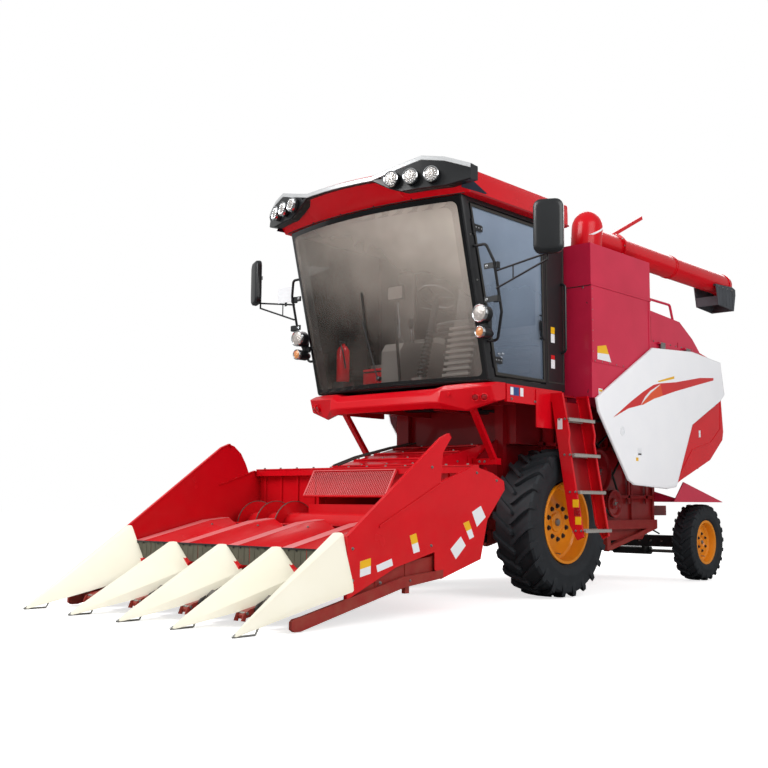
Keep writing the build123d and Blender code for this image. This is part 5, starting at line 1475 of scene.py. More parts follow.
@dataclass
class MirrorsAndRails(Assembly):
    """Mirror heads, clamps on the bow tubes, headlamps and the plate on the right."""

    post_x: float = 1310
    arm_x: float = 1850
    y: float = -1284
    toe: float = 28.0  # degrees that each mirror turns towards the driver
    mirror_x: float = 1866
    mirror_z: float = 3262

    CORNERS: ClassVar[tuple[tuple[int, int, float], ...]] = (
        (1, 1, 0), (-1, 1, 0.25), (-1, -1, 0.5), (1, -1, 0.75),
    )

    def head(self, side: int, width: float, height: float, corner: float, deep: float) -> list[Triple]:
        """One round-cornered level of a mirror head, `deep` forward of its glass.

        Args:
            side: -1 or 1, the side of the cab.
            width: half width between the corner centres.
            height: half height between them.
            corner: radius of the corners.
            deep: place forward of the glass.

        Returns:
            The loop of points.
        """
        angle = math.radians(self.toe) * side
        loop = []
        for right, top, start in self.CORNERS:
            for turn in (math.tau * (start + i / 20) for i in range(6)):
                across = right * width + corner * math.cos(turn)
                x = across * math.cos(angle) - deep * math.sin(angle)
                y = across * math.sin(angle) + deep * math.cos(angle)
                rise = top * height + corner * math.sin(turn)
                loop.append((side * self.mirror_x + x, self.y + y, self.mirror_z + rise))
        return loop

    def mirror(self, piece: Piece, side: int) -> None:
        """One tall mirror: a domed housing whose glass faces back.

        Args:
            piece: the piece to add to.
            side: -1 or 1, the side of the cab.
        """
        loops = []
        for deep, shrink in ((-78, 40), (-72, 16), (-58, 3), (-24, 0), (-12, 4), (-8, 10)):
            corner = 70 - shrink * 0.5
            loops.append(self.head(side, 132 - shrink - corner, 240 - shrink - corner, corner, deep))
        piece.loft(loops)
        piece.loft([self.head(side, 62, 165, 50, deep) for deep in (-9, -6)], 1)

    def headlamp(self, piece: Piece, side: int) -> None:
        """The round headlamp over its small amber lamp, in one black housing.

        Args:
            piece: the piece to add to.
            side: -1 or 1, the side of the cab.
        """
        for z, r, lens, back in ((2580, 80, 2, 60), (2412, 52, 3, 30)):
            cup = [(back - 100, 0), (back - 92, r * 0.55), (back - 40, r), (100, r), (100, 0)]
            ring = [(96, r + 3), (118, r + 2), (124, r - 5), (116, r - 12), (98, r - 9)]
            face = [(100, 0), (104, r - 10), (118, r - 12), (126, r * 0.5), (129, 0)]
            for profile, finish in ((cup, 0), (ring, 4), (face, lens)):
                piece.turn(profile, (side * 1180, -1250, z), FRONT, 28, finish)
        piece.box((side * 1180 - 24, -1262, 2400), (side * 1180 + 24, -1210, 2600))
        piece.box((side * 1104, -1256, 2440), (side * 1170, -1236, 2500))

    def clamp(self, piece: Piece, side: int, z: float) -> None:
        """A two-bolt clamp that ties the bow tube to the pillar.

        Args:
            piece: the piece to add to.
            side: -1 or 1, the side of the cab.
            z: the clamp's height.
        """
        far = side * (self.post_x + 26)
        piece.box((side * (self.post_x - 120), self.y - 26, z - 26), (far, self.y - 16, z + 26))
        piece.box((side * (self.post_x - 26), self.y - 20, z - 30), (far, self.y + 20, z + 30))
        piece.bolt((side * (self.post_x - 90), self.y - 26, z), FRONT, 18, 4)

    def build(self) -> None:
        """Builds both sides."""
        piece = self.piece("mirror_shells", "black_plastic", "black_abs_plastic mirror_glass")
        self.mirror(piece, 1)
        self.mirror(piece, -1)
        piece.make(crease=34, replaces=["mirror_heads"])
        finishes = "black_abs_plastic white_vinyl clear_lamp_lens amber_lamp_lens hard_chrome"
        lamps = self.piece("pillar_headlamps", "lamp_plastic", finishes)
        for side in SIDES:
            self.headlamp(lamps, side)
            for z in (2705, 3010):
                self.clamp(lamps, side, z)
            lamps.disc(16, 14, (side * self.arm_x, self.y - 12, 3330), REAR, 12, 4)
        lamps.box((-1560, self.y - 8, 3000), (-1330, self.y - 2, 3160), 1)
        lamps.box((-1460, self.y - 3, 2960), (-1430, self.y + 4, 3120))
        lamps.make(bevel=2, crease=34, replaces=["headlamps"])


# ------------------------------------------------------------------- side and rear skins
@dataclass
class SidePanel(Assembly):
    """Large white moulded side panel with rounded edges, a coloured sweep, handle and plates."""

    side: int = 1
    skin: float = 1388.0

    MIDDLE: ClassVar[Pair] = (1760, 1850)
    HINGES: ClassVar[tuple[float, ...]] = (1700.0, 2300.0)
    OUTLINE: ClassVar[Outline] = (
        (280, 1936), (317, 1810), (885, 1141), (1006, 1093), (1720, 1061), (1927, 1085), (2345, 1788),
        (3085, 2115), (3200, 2195), (3110, 2571), (2390, 2624), (1447, 2565),
    )
    SWEEP: ClassVar[Outline] = (
        (581, 1759), (933, 1942), (1209, 2071), (1438, 2163), (1573, 2190), (1951, 2236), (2546, 2338),
        (2895, 2368), (2895, 2340), (2411, 2237), (1906, 2127), (1547, 2039), (1451, 2017), (1204, 1934),
        (1149, 1925), (890, 1872),
    )
    CREST: ClassVar[Outline] = (
        (1149, 1925), (1204, 1934), (1451, 2017), (1547, 2039), (1640, 2062), (1592, 2184), (1573, 2182),
        (1470, 2132), (1359, 2076), (1244, 2003),
    )
    EDGE: ClassVar[Outline] = (
        (1149, 1925), (1244, 2019), (1359, 2092), (1592, 2184), (1573, 2170), (1370, 2070), (1262, 2000),
    )
    TOP_STRIP: ClassVar[Outline] = ((1535, 2213), (1914, 2300), (1913, 2271), (1554, 2201))
    TIP: ClassVar[Outline] = ((581, 1759), (700, 1822), (742, 1838), (620, 1782))

    def raised(
        self, piece: Piece, outline: Outline, finish: int, lift: float = 1.0, sunk: float = 0.5,
    ) -> None:
        """One flat shape on the panel's skin, `lift` proud of it."""
        piece.prism(outline, Axis.X, self.side * (self.skin + lift), self.side * (self.skin - sunk), finish)

    def moulding(self, body: str) -> None:
        """The skin with its rounded edges, on its hinge knuckles.

        Args:
            body: the body that the panel is.
        """
        piece = self.piece(f"{body}_skin", "panel_white", "white_gloss_enamel galvanised_steel", body)
        centre = Vector(self.MIDDLE)
        loops = []
        for inset, x in ((0.0, 1362), (0.0, 1374), (5.0, 1383), (16.0, 1387), (34.0, 1388)):
            spots = [Vector(corner) for corner in self.OUTLINE]
            loops.append([(self.side * x, *(spot + (centre - spot).normalized() * inset)) for spot in spots])
        piece.loft(loops)
        for y in self.HINGES:
            x = self.side * 1366
            piece.tube([(x, y - 50, 2640), (x, y + 50, 2640)], 11, 1, 14)
            piece.box((x, y - 50, 2560), (self.side * 1376, y + 50, 2640), 1)
        piece.make(crease=38, replaces=[body])

    def graphics(self, body: str) -> None:
        """The coloured sweep, the blank plates and the round handle plate.

        Args:
            body: the body that the panel is.
        """
        finishes = "scarlet_vinyl orange_vinyl white_vinyl yellow_vinyl white_gloss_enamel"
        piece = self.piece(f"{body}_graphics", "panel_white", finishes, body)
        for outline, finish, lift in (
            (self.SWEEP, 0, 0.8), (self.CREST, 1, 1.1), (self.EDGE, 2, 1.5), (self.TOP_STRIP, 3, 1.2),
            (self.TIP, 3, 1.2), (rectangle(1070, 1400, 1150, 1476), 2, 1.0),
            (rectangle(1030, 1340, 1080, 1375), 3, 1.0), (rectangle(1075, 1404, 1145, 1420), 3, 1.0),
        ):
            self.raised(piece, outline, finish, lift)
        rim, hole = (circle((761, 1637), radius, 20) for radius in (52, 40))
        piece.frame(rim, hole, Axis.X, self.side * (self.skin - 1), self.side * (self.skin + 5), 4)
        self.raised(piece, hole, 2, 1, 1)
        self.raised(piece, [(727, 1626), (795, 1636), (795, 1652), (727, 1642)], 4, 6, -1)
        piece.make(bevel=1.0)

    def build(self) -> None:
        """Builds the moulded skin and its graphics."""
        body = "side_panel_left" if self.side > 0 else "side_panel_right"
        self.moulding(body)
        self.graphics(body)


@dataclass
class BodySkins(Assembly):
    """Seams, plates, ribs and bolts on the tank, the rear hoods and the hull."""

    def tank(self) -> None:
        """Tank seams, ledge bolts, corner plates and its sloping decal."""
        # The tank's seams and strips take the paler, pinker enamel of the painted sky reflection.
        finishes = "weathered_red_enamel yellow_vinyl white_vinyl galvanised_steel moulded_rubber"
        piece = self.piece("tank_seams_and_decal", "body_red", finishes)
        piece.prism([(362, 2462), (529, 2490), (626, 2324), (358, 2331)], Axis.X, 1349, 1351, 1)
        piece.prism([(360, 2395), (582, 2402), (626, 2324), (358, 2331)], Axis.X, 1350, 1351.8, 2)
        piece.box((1349, 371, 1980), (1351, 447, 2040), 2)
        piece.box((1349, 380, 2010), (1351.6, 440, 2030), 1)
        for side in SIDES:
            for y in (268, 1440):
                piece.box((side * 1349, y - 16, 2320), (side * 1356, y + 16, 3064))
            piece.box((side * 1349, 260, 2296), (side * 1356, 1460, 2322))
            out = (side, 0, 0)
            piece.bolts(((side * 1351, 300 + i * 140, 2309) for i in range(9)), out, 13, 3)
            piece.bolts(((side * 1351, 268, 2400 + i * 105) for i in range(7)), out, 11, 3)
        piece.bolts(((-1260 + i * 210, 251, 3050) for i in range(13)), FRONT, 13, 3)
        piece.box((-1350, 244, 3063), (1350, 251, 3068), 4)
        piece.make(bevel=2)

    def rear(self) -> None:
        """The framed window-like plate, small plates and seams of the rear and engine hoods."""
        finishes = "red_gloss_enamel white_vinyl dull_red_enamel black_powder_coat galvanised_steel"
        piece = self.piece("rear_plates_and_vents", "body_red", finishes)
        window = [
            (2440, 1850), (3180, 2160), (3160, 1790), (2900, 1620), (2430, 1520), (2120, 1240), (1960, 1262),
        ]
        rim = [
            (2430, 1868), (3194, 2190), (3174, 1782), (2906, 1606), (2436, 1504), (2122, 1222), (1930, 1250),
        ]
        for side in SIDES:
            piece.frame(rim, window, Axis.X, side * 1329, side * 1335)
            plates = [[(2440, 1812), (3060, 2072), (3054, 2060), (2440, 1802)]]
            plates += [[(2600, z), (2644, z + 6), (2644, z + 44), (2600, z + 38)] for z in (1700, 1660)]
            for plate in plates:
                piece.prism(plate, Axis.X, side * 1329, side * 1331.5, 1)
            row = ((side * 1342, 1540 + i * 130, 2652 - max(0, i - 7) * 30) for i in range(11))
            piece.bolts(row, (side, 0, 0), 12, 4)
            # Seams in the red darkened as painted shade.
            for y, top in ((1478, 2920), (2100, 2700)):
                piece.box((side * 1340, y, 2640), (side * 1346, y + 8, top), 2)
        piece.make(bevel=1.2)

    def hull(self) -> None:
        """Pressed ribs, inspection cover and hoses on the shaded hull."""
        finishes = "dull_red_enamel black_powder_coat galvanised_steel moulded_rubber"
        # The hull's ribs and cover take the red darkened as painted shade.
        piece = self.piece("hull_ribs_and_covers", "body_red", finishes)
        ribs = [rectangle(y, 900, y + 46, 1980) for y in (180, 420, 980, 1400, 1880, 2280)]
        ribs += [rectangle(100, z, 2440, z + 34) for z in (960, 1480, 1940)]
        for side in SIDES:
            for rib in ribs:
                piece.prism(rib, Axis.X, side * 804, side * 818)
            piece.prism(rectangle(1000, 1010, 1380, 1440), Axis.X, side * 804, side * 811)
            screws = ((side * 811, y, z) for y, z in ((1020, 1030), (1360, 1030), (1020, 1420), (1360, 1420)))
            piece.bolts(screws, (side, 0, 0), 14, 2)
            pipe = ((835, 120, 1880), (850, 700, 1760), (850, 1500, 1800), (835, 2350, 1700))
            hose = ((830, 140, 1000), (862, 480, 1090), (862, 900, 1700), (830, 1500, 1900))
            for run, bend, radius, sides in ((pipe, 120, 16, 10), (hose, 90, 12, 8)):
                piece.tube(rounded([(side * x, y, z) for x, y, z in run], bend), radius, 3, sides)
        piece.make(bevel=3)

    def build(self) -> None:
        """Builds all of the skins' detail."""
        self.tank()
        self.rear()
        self.hull()


@dataclass
class BeltDrives(Assembly):
    """Belts round the drive pulleys on both sides, with the pulleys' webs and hubs."""

    plane: float = 823.0  # where the pulleys' inner faces stand
    belt_turns: int = 19  # points round each pulley's share of a belt

    PULLEYS: ClassVar[tuple[tuple[float, float, float, float], ...]] = (
        # y, z, radius, width
        (760, 1560, 150, 60), (1180, 1250, 240, 55), (1640, 1600, 170, 60),
        (2120, 1330, 130, 45), (1500, 900, 150, 50),
    )
    BELTS: ClassVar[tuple[tuple[int, int], ...]] = ((0, 1), (1, 2), (2, 3), (1, 4))

    def pulley(self, piece: Piece, y: float, z: float, radius: float, width: float) -> None:
        """One pressed pulley with a V groove, dished web and hub.

        Args:
            piece: the piece to add to.
            y: the hub's place along the machine.
            z: its height.
            radius: of the rim.
            width: of the rim.
        """
        profile = [
            (0, 22), (0, radius - 26), (2, radius), (width * 0.3, radius), (width * 0.5, radius - 18),
            (width * 0.7, radius), (width - 2, radius), (width, radius - 8), (width - 6, radius - 24),
            (width * 0.5, radius - 40), (width * 0.4, 60), (width * 0.9, 50), (width * 0.95, 22),
        ]
        piece.turn(profile, (self.plane, y, z), LEFT, 40)
        shaft = [(-16, 0), (-16, 20), (width * 1.04, 20), (width * 1.1, 0)]
        piece.turn(shaft, (self.plane, y, z), LEFT, 16, 2)
        spots = (polar((y, z), 40, math.tau * i / 4 + 0.3) for i in range(4))
        piece.bolts(((self.plane + width * 0.86, *spot) for spot in spots), LEFT, 12, 2)

    def belt(self, piece: Piece, first: int, second: int) -> None:
        """A belt drawn tight round two pulleys.

        Args:
            piece: the piece to add to.
            first: which pulley it leaves.
            second: which pulley it reaches.
        """
        (y0, z0, r0, w0), (y1, z1, r1, w1) = self.PULLEYS[first], self.PULLEYS[second]
        x = self.plane + min(w0, w1) * 0.5
        heading = math.atan2(z1 - z0, y1 - y0)
        lean = math.acos((r0 - r1) / math.hypot(y1 - y0, z1 - z0))
        shares = [i / (self.belt_turns - 1) for i in range(self.belt_turns)]
        run = [polar((y0, z0), r0 - 5, heading + lean + (math.tau - 2 * lean) * t) for t in shares]
        run += [polar((y1, z1), r1 - 5, heading - lean + 2 * lean * t) for t in shares]
        loops = []
        for before, (y, z), after in zip(run[-1:] + run, run, run[1:] + run[:1]):
            line = (Vector(after) - Vector(before)).normalized()
            dy, dz = line.y * 7, -line.x * 7
            loops.append([(x + a, y + b * dy, z + b * dz) for a, b in ((-9, -1), (9, -1), (12, 1), (-12, 1))])
        piece.loft(loops, 1, ring=True)

    def build(self) -> None:
        """Builds the drives on both sides of the hull."""
        # The pulleys take the red darkened as painted shade.
        piece = self.piece("belt_drives", "black_paint", "dull_red_enamel moulded_rubber galvanised_steel")
        for row in self.PULLEYS:
            self.pulley(piece, *row)
        for pair in self.BELTS:
            self.belt(piece, *pair)
        piece.both_sides()
        piece.make(crease=35, replaces=["drive_pulleys"])


# ---------------------------------------------------------------------------- header
@dataclass
class MaizeHeader(Assembly):
    """The four-row header: end sheets, hoods, dividers, chains, rolls, auger and screen."""

    rows: int = 4
    spacing: float = 650
    half: float = 1400
    auger_y: float = -1880
    auger_z: float = 700
    auger_radius: float = 205

    OUTER_SPREAD: ClassVar[float] = 1.012  # the outer dividers stand a little wider than their rows
    SHEET: ClassVar[Outline] = (
        (-3256, 195), (-3256, 649), (-2163, 1424), (-2066, 1462), (-2040, 1430), (-2150, 1300), (-2178, 1060),
        (-1731, 1206), (-1480, 1154), (-1310, 1086), (-1300, 1014), (-1550, 760), (-1648, 431), (-2176, 292),
        (-2255, 374), (-2255, 508), (-2720, 405),
    )
    RUNNER: ClassVar[Outline] = (
        (-3800, 26), (-3770, 8), (-3712, 8), (-2620, 250), (-2150, 300), (-2150, 366), (-2640, 330),
        (-3700, 108), (-3780, 96), (-3800, 78),
    )
    WHITE_PLATES: ClassVar[tuple[Outline, ...]] = (
        ((-2943, 429), (-2770, 475), (-2755, 422), (-2929, 379)),
        ((-1767, 823), (-1646, 875), (-1577, 781), (-1699, 699)),
        ((-2055, 524), (-1918, 625), (-1852, 549), (-1984, 442)),
    )
    HALVED_PLATES: ClassVar[tuple[Outline, ...]] = (
        ((-3120, 465), (-3004, 487), (-3004, 372), (-3120, 350)),
        ((-2560, 643), (-2485, 661), (-2439, 519), (-2514, 504)),
        ((-1885, 732), (-1811, 752), (-1740, 618), (-1801, 598)),
    )
    RAIL: ClassVar[Outline] = (
        (-3776, 58), (-3782, 84), (-3762, 112), (-3300, 236), (-2900, 430), (-2200, 561), (-2200, 400),
        (-2560, 330), (-3380, 130),
    )
    NOSE: ClassVar[Outline] = (
        (-3812, 46), (-3790, 98), (-3730, 128), (-3690, 128), (-3700, 96), (-3766, 78), (-3776, 40),
    )

    @property
    def ridges(self) -> list[float]:
        """Where the dividers and hood ridges are."""
        return [(i - self.rows / 2) * self.spacing for i in range(self.rows + 1)]

    @property
    def gaps(self) -> list[float]:
        """Where the stalk gaps are."""
        return [(i - (self.rows - 1) / 2) * self.spacing for i in range(self.rows)]

    @property
    def flanks(self) -> list[tuple[float, int]]:
        """Both sides of every stalk gap."""
        return [(gap, side) for gap in self.gaps for side in SIDES]

    def part(self, name: str, slot: str, finishes: str) -> Piece:
        """Starts a piece that rides on the header."""
        return self.piece(name, slot, finishes, "header")

    def end_sheets(self) -> None:
        """Pressed end sheets with folded rims, a swage line, runners and blank plates."""
        finishes = "red_gloss_enamel yellow_vinyl white_vinyl galvanised_steel dull_red_enamel"
        piece = self.part("header_end_sheets", "body_red", finishes)
        outer = self.half
        piece.prism(self.SHEET, Axis.X, outer - 8, outer)
        for corners, inset, drop, width in ((self.SHEET[1:5], 16, 3, 32), (self.SHEET[6:10], 14, 4, 30)):
            for ends in zip(corners, corners[1:]):
                piece.bar([(outer - inset, y, z - drop) for y, z in ends], width, 8)
        lip = [(-3256, 195), (-3256, 649), (-3244, 655), (-3244, 195)]
        swage = [(-2919, 724), (-2178, 1060), (-2170, 1044), (-2911, 706)]
        web = [(-3250, 150), (-2640, 300), (-2180, 330), (-2180, 480), (-2720, 430), (-3250, 300)]
        # The runner, web and posts take the red darkened as painted shade.
        for outline, low, high, finish in (
            (lip, -31, 0, 0), (swage, -2, 8, 0), (self.RUNNER, -26, 4, 4), (web, -40, -32, 4),
        ):
            piece.prism(outline, Axis.X, outer + low, outer + high, finish)
        for y, top in ((-2900, 430), (-2560, 500)):
            piece.box((outer - 60, y - 25, 200), (outer - 25, y + 25, top), 4)
            piece.bolt((outer, y, 300), LEFT, 16, 3)
        for halved, plain in zip(self.HALVED_PLATES, self.WHITE_PLATES):
            piece.prism(halved, Axis.X, outer - 1, outer + 1.2, 2)
            a, b, c, d = (Vector(corner) for corner in halved)
            upper = [tuple(corner) for corner in (a, b, (b + c) / 2, (a + d) / 2)]
            piece.prism(upper, Axis.X, outer, outer + 1.8, 1)
            piece.prism(plain, Axis.X, outer - 1, outer + 1.2, 2)
        screws = ((-3200, 330), (-3200, 560), (-2300, 560), (-2290, 1180), (-1700, 1150), (-1420, 1090))
        piece.bolts(((outer, y, z) for y, z in screws), LEFT, 15, 3)
        piece.both_sides()
        fin = [(-2178, 1060), (-2150, 1300), (-2050, 1440), (-2066, 1462), (-1990, 1440), (-1900, 1370)]
        piece.prism(fin + [(-1836, 1270), (-1790, 1170)], Axis.X, -outer + 1, -outer + 7)
        piece.make(bevel=2.5, crease=30, replaces=["header_side_sheets"])

    def hoods(self) -> None:
        """Ridged hoods: a flat ridge with a painted highlight, swept flanks, rolled eaves and an upright rear
        end.
        """
        finishes = "red_gloss_enamel hood_ridge_enamel galvanised_steel"
        piece = self.part("ridged_row_hoods", "body_red", finishes)
        reach, edge = self.spacing / 2 - 85, self.half - 27
        rear = self.auger_y - self.auger_radius - 77
        spans = ((-3290, 505, 385), (-3190, 531, 412), (-2400, 716, 628), (rear, 740, 650))
        for x in self.ridges:
            left, right = max(x - reach, -edge), min(x + reach, edge)
            loops = []
            for y, ridge, eave in spans:
                loop = [(left, eave - 24), (left, eave), (left + (x - 40 - left) * 0.12, eave + 9)]
                loop += [(x - 74, ridge - 12), (x - 62, ridge), (x + 62, ridge), (x + 74, ridge - 12)]
                loop += [(right + (x + 40 - right) * 0.12, eave + 9), (right, eave), (right, eave - 24)]
                loop += [
                    (right - 12, eave - 24), (x + 30, ridge - 22), (x - 30, ridge - 22),
                    (left + 12, eave - 24),
                ]
                loops.append([place(p, Axis.Y, y) for p in loop])
            piece.loft(loops)
            # A pale strip along each ridge: a painted highlight of the sky on its upward face.
            band = ((-61, 0.6), (61, 0.6), (59, 2.2), (-59, 2.2))
            piece.loft([[(x + a, y, ridge + rise) for a, rise in band] for y, ridge, _ in spans], 1)
            wall = [
                (left + 6, 640), (x - 40, 736), (x + 40, 736), (right - 6, 640), (right - 6, 560),
                (left + 6, 560),
            ]
            piece.prism(wall, Axis.Y, rear - 14, rear - 6)
            for spot in (x - 120, x + 120):
                if left + 20 < spot < right - 20:
                    screws = ((spot, -3150, 518 - 0.42 * 80), (spot, -2420, 708 - 0.36 * 80))
                    piece.bolts(screws, (0, -0.3, 1), 14, 2)
        piece.make(bevel=2, replaces=["row_hoods"])

    def dividers(self) -> None:
        """Moulded pointed dividers: a soft ridge, full flanks and a rear lip."""
        piece = self.part(
            "moulded_dividers", "divider_cream", "cream_polyethylene galvanised_steel moulded_rubber",
        )
        tip_y, peak_y = -4238.0, -3262.0
        for x in self.ridges:
            outer = abs(x) > 1000
            peak, base = (684, 262) if outer else (560, 215)
            spread = {side: 165 if side * x > 1000 else 306 for side in SIDES}
            x *= self.OUTER_SPREAD if outer else 1.0
            loops = []
            for share in (0.0, 0.012, 0.04, 0.12, 0.3, 0.5, 0.7, 0.86, 0.96, 0.985, 1.0):
                y = tip_y + share * (peak_y - tip_y)
                trim = 6 if share in (0.0, 1.0) else 0
                low = 6 + share * (base - 6) + trim
                top = 26 + share * (peak - 26) - trim
                brow = low + (0.25 if outer else 0.4) * (top - low)
                full = 1 + 0.05 * math.sin(math.pi * share)
                flanks = []
                for side in SIDES:
                    wide = 12 + share ** (1.0 if spread[side] < 200 else 0.84) * (spread[side] - 12) - trim
                    crest = min(0.2 * wide, 12 + share * 34)
                    soft = min(16.0, 0.1 * wide)
                    middle = (0.85 * wide * full + crest) / 2
                    flank = [(wide, low), (0.97 * wide, low + 0.10 * (top - low)), (0.85 * wide * full, brow)]
                    flank += [(middle * 1.01, brow + 0.5 * (top - brow)), (crest + soft, top - soft * 0.9)]
                    flank += [(crest, top - soft * 0.18)]
                    flanks.append([(x + side * across, y, z) for across, z in flank])
                loops.append(flanks[0] + [(x, y, top)] + flanks[1][::-1])
            piece.loft(loops)
            piece.box(
                (x - spread[-1] + 16, peak_y - 1, base + 14), (x + spread[1] - 16, peak_y + 5, base + 40), 2,
            )
        piece.make(crease=26, replaces=["dividers"])

    def skids(self) -> None:
        """Bent wire skids that carry the divider tips on the ground."""
        piece = self.part("tip_skid_wires", "grey_steel", "galvanised_steel")
        for x in self.ridges:
            x *= self.OUTER_SPREAD if abs(x) > 1000 else 1.0
            run = [(x, -4210, 30), (x, -4268, 8), (x, -4050, 8), (x, -3990, 110)]
            piece.tube(rounded(run, 12), 7, 0, 8)
        piece.make(crease=40, replaces=["divider_skids"])

    def chains(self) -> None:
        """Gathering chains: side plates, rollers, leaning fingers, sprockets and guides."""
        piece = self.part("gathering_chain_links", "grey_steel", "worn_steel cast_iron galvanised_steel")
        slope = (594 - 285) / (3700 - 2215)
        rise = 50 * slope
        for gap, side in self.flanks:
            x = gap + side * 58
            piece.prism([(-3640, 268), (-3640, 288), (-2230, 584), (-2230, 564)], Axis.X, x - 7, x + 7, 2)
            for y in range(-3668, -2275, 58):
                z = 286 + (y + 3700) * slope
                link = [(y, z - 9), (y + 50, z - 9 + rise), (y + 50, z + 11 + rise), (y, z + 11)]
                for shift in (-20, 15):
                    piece.prism(link, Axis.X, x + shift, x + shift + 5)
                piece.turn([(-16, 0), (-16, 9), (16, 9), (16, 0)], (x, y + 4, z + 2), LEFT, 8, 1)
            for y in range(-3620, -2419, 240):
                z = 290 + (y + 3700) * slope
                finger = [(y, z), (y + 46, z + 9), (y + 58, z + 34), (y + 40, z + 40), (y + 4, z + 22)]
                piece.prism(finger, Axis.X, x - side * 2, x - side * 52)
            sprocket = [(-14, 0), (-14, 26), (-6, 34), (6, 34), (14, 26), (14, 0)]
            piece.turn(sprocket, (x, -3672, 274), LEFT, 14, 1)
            foot = [(-3000, 330), (-2800, 372), (-2800, 441), (-3000, 399)]
            piece.prism(foot, Axis.X, x, gap + side * 85, 1)
        piece.lower(-3700, -2900, 150)
        piece.make(replaces=["gathering_chains"])

    def rolls(self) -> None:
        """Stalk rolls with six flutes and spiral points, in their bearing blocks."""
        piece = self.part("fluted_stalk_rolls", "roll_iron", "cast_iron worn_steel red_gloss_enamel")
        for gap, side in self.flanks:
            x = gap + side * 43
            start, end = Vector((x, -3620, 150)), Vector((x, -2620, 330))
            loops = []
            for share in (k / 12 for k in range(13)):
                spot = start.lerp(end, share)
                size = 14 + 20 * min(1.0, share / 0.16)
                twist = side * 1.6 * max(0.0, 0.2 - share)
                flutes = [(size if i % 4 < 2 else size * 0.78, math.tau * i / 24 + twist) for i in range(24)]
                section = (polar((spot.x, spot.z), radius, angle) for radius, angle in flutes)
                loops.append([place(p, Axis.Y, spot.y) for p in section])
            piece.loft(loops, 1)
            for share in (0.04, 0.96):
                y, z = -3620 + share * 1000, 150 + share * 180
                piece.box((x, y - 18, z - 24), (gap + side * 85, y + 18, z + 24))
                piece.bolt((x + side * 20, y - 18, z), FRONT, 13, 1)
        piece.lower(-3700, -2900, 62)
        piece.make(bevel=1.5, replaces=["stalk_rolls"])

    def rails(self) -> None:
        """Row units' sloping rails with their nose brackets, under the dividers, and the flaps."""
        # The rails under the dividers take the red darkened as painted shade.
        piece = self.part("row_unit_rails", "body_red", "dull_red_enamel galvanised_steel")
        for gap, side in self.flanks:
            x = gap + side * 125
            for outline, low, high in ((self.RAIL, -30, 30), (self.NOSE, -46, -34), (self.NOSE, 34, 46)):
                piece.prism(outline, Axis.X, x + low, x + high)
            piece.tube([(x - 52, -3762, 98), (x + 52, -3762, 98)], 12, 1, 12)
            spots = ((x + side * 30, y, z) for y, z in ((-3690, 104), (-3560, 134), (-3430, 168)))
            piece.bolts(spots, (side, 0, 0), 15, 1)
        for ridge in self.ridges[1:-1]:
            piece.box((ridge - 170, -3350, 196), (ridge + 170, -3310, 240))
        piece.make(bevel=2.5, replaces=["row_unit_frames"])
        flaps = self.part("hanging_flaps", "spout_rubber", "olive_flap_rubber")
        for gap, side in self.flanks:
            sheet = ((4, 395), (4, 545), (290, 545), (290, 470), (95, 372), (95, 395))
            ribs = [rectangle(x, 400 + 0.3 * x, x + 5, 540) for x in (60, 130, 200)]
            for outline, front, back in ((sheet, -3259, -3252), *((rib, -3262, -3259) for rib in ribs)):
                flaps.prism([(gap + side * x, z) for x, z in outline], Axis.Y, front, back)
        flaps.make(bevel=1.5, replaces=["crop_flaps"])

    def auger(self) -> None:
        """Cross auger with helical flights wound to the middle and four paddles."""
        piece = self.piece("helical_cross_auger", "body_red", "red_gloss_enamel worn_steel", "cross_auger")
        middle = (self.auger_y, self.auger_z)
        for reach, inner, outer, sides, finish in ((1355, 30, 95, 36, 0), (1374, 0, 30, 20, 1)):
            drum = [(-reach, inner), (-reach, outer), (reach, outer), (reach, inner)]
            piece.turn(drum, (0, *middle), LEFT, sides, finish)
        sections = (((-3, 92), (-3, 204), (3, 204), (3, 92)), ((-5, 199), (-5, 205), (5, 205), (5, 199)))
        for side in SIDES:
            turns = [(side * (1340 - 8.2 * k), side * k * math.tau / 32) for k in range(97)]
            for finish, section in enumerate(sections):
                flight = [[(x + a, *polar(middle, r, angle)) for a, r in section] for x, angle in turns]
                piece.loft(flight, finish)
        for c, s in ((1, 0), (0, 1), (-1, 0), (0, -1)):
            edges = ((92, -4), (176, -4), (176, 4), (92, 4))
            paddle = [(middle[0] + r * c - shift * s, middle[1] + r * s + shift * c) for r, shift in edges]
            piece.prism(paddle, Axis.X, -430, 430)
        piece.make(replaces=["cross_auger"])

    def screen(self) -> None:
        """Expanded-metal screen in a tube frame over the feeder mouth."""
        # The mesh's bars take the pale pink enamel of the painted highlight.
        piece = self.part("crop_screen_mesh", "body_red", "red_gloss_enamel hood_ridge_enamel")
        top, low = Vector((0, -1722, 1185)), Vector((0, -1860, 950))
        half, pitch = 520.0, 28.0

        def spot(x: float, share: float, out: float = 0.0) -> Triple:
            """A point on the screen's plane; share runs from its top to its foot."""
            here = top.lerp(low, share)
            return (x, here.y - out, here.z + out * 0.5)

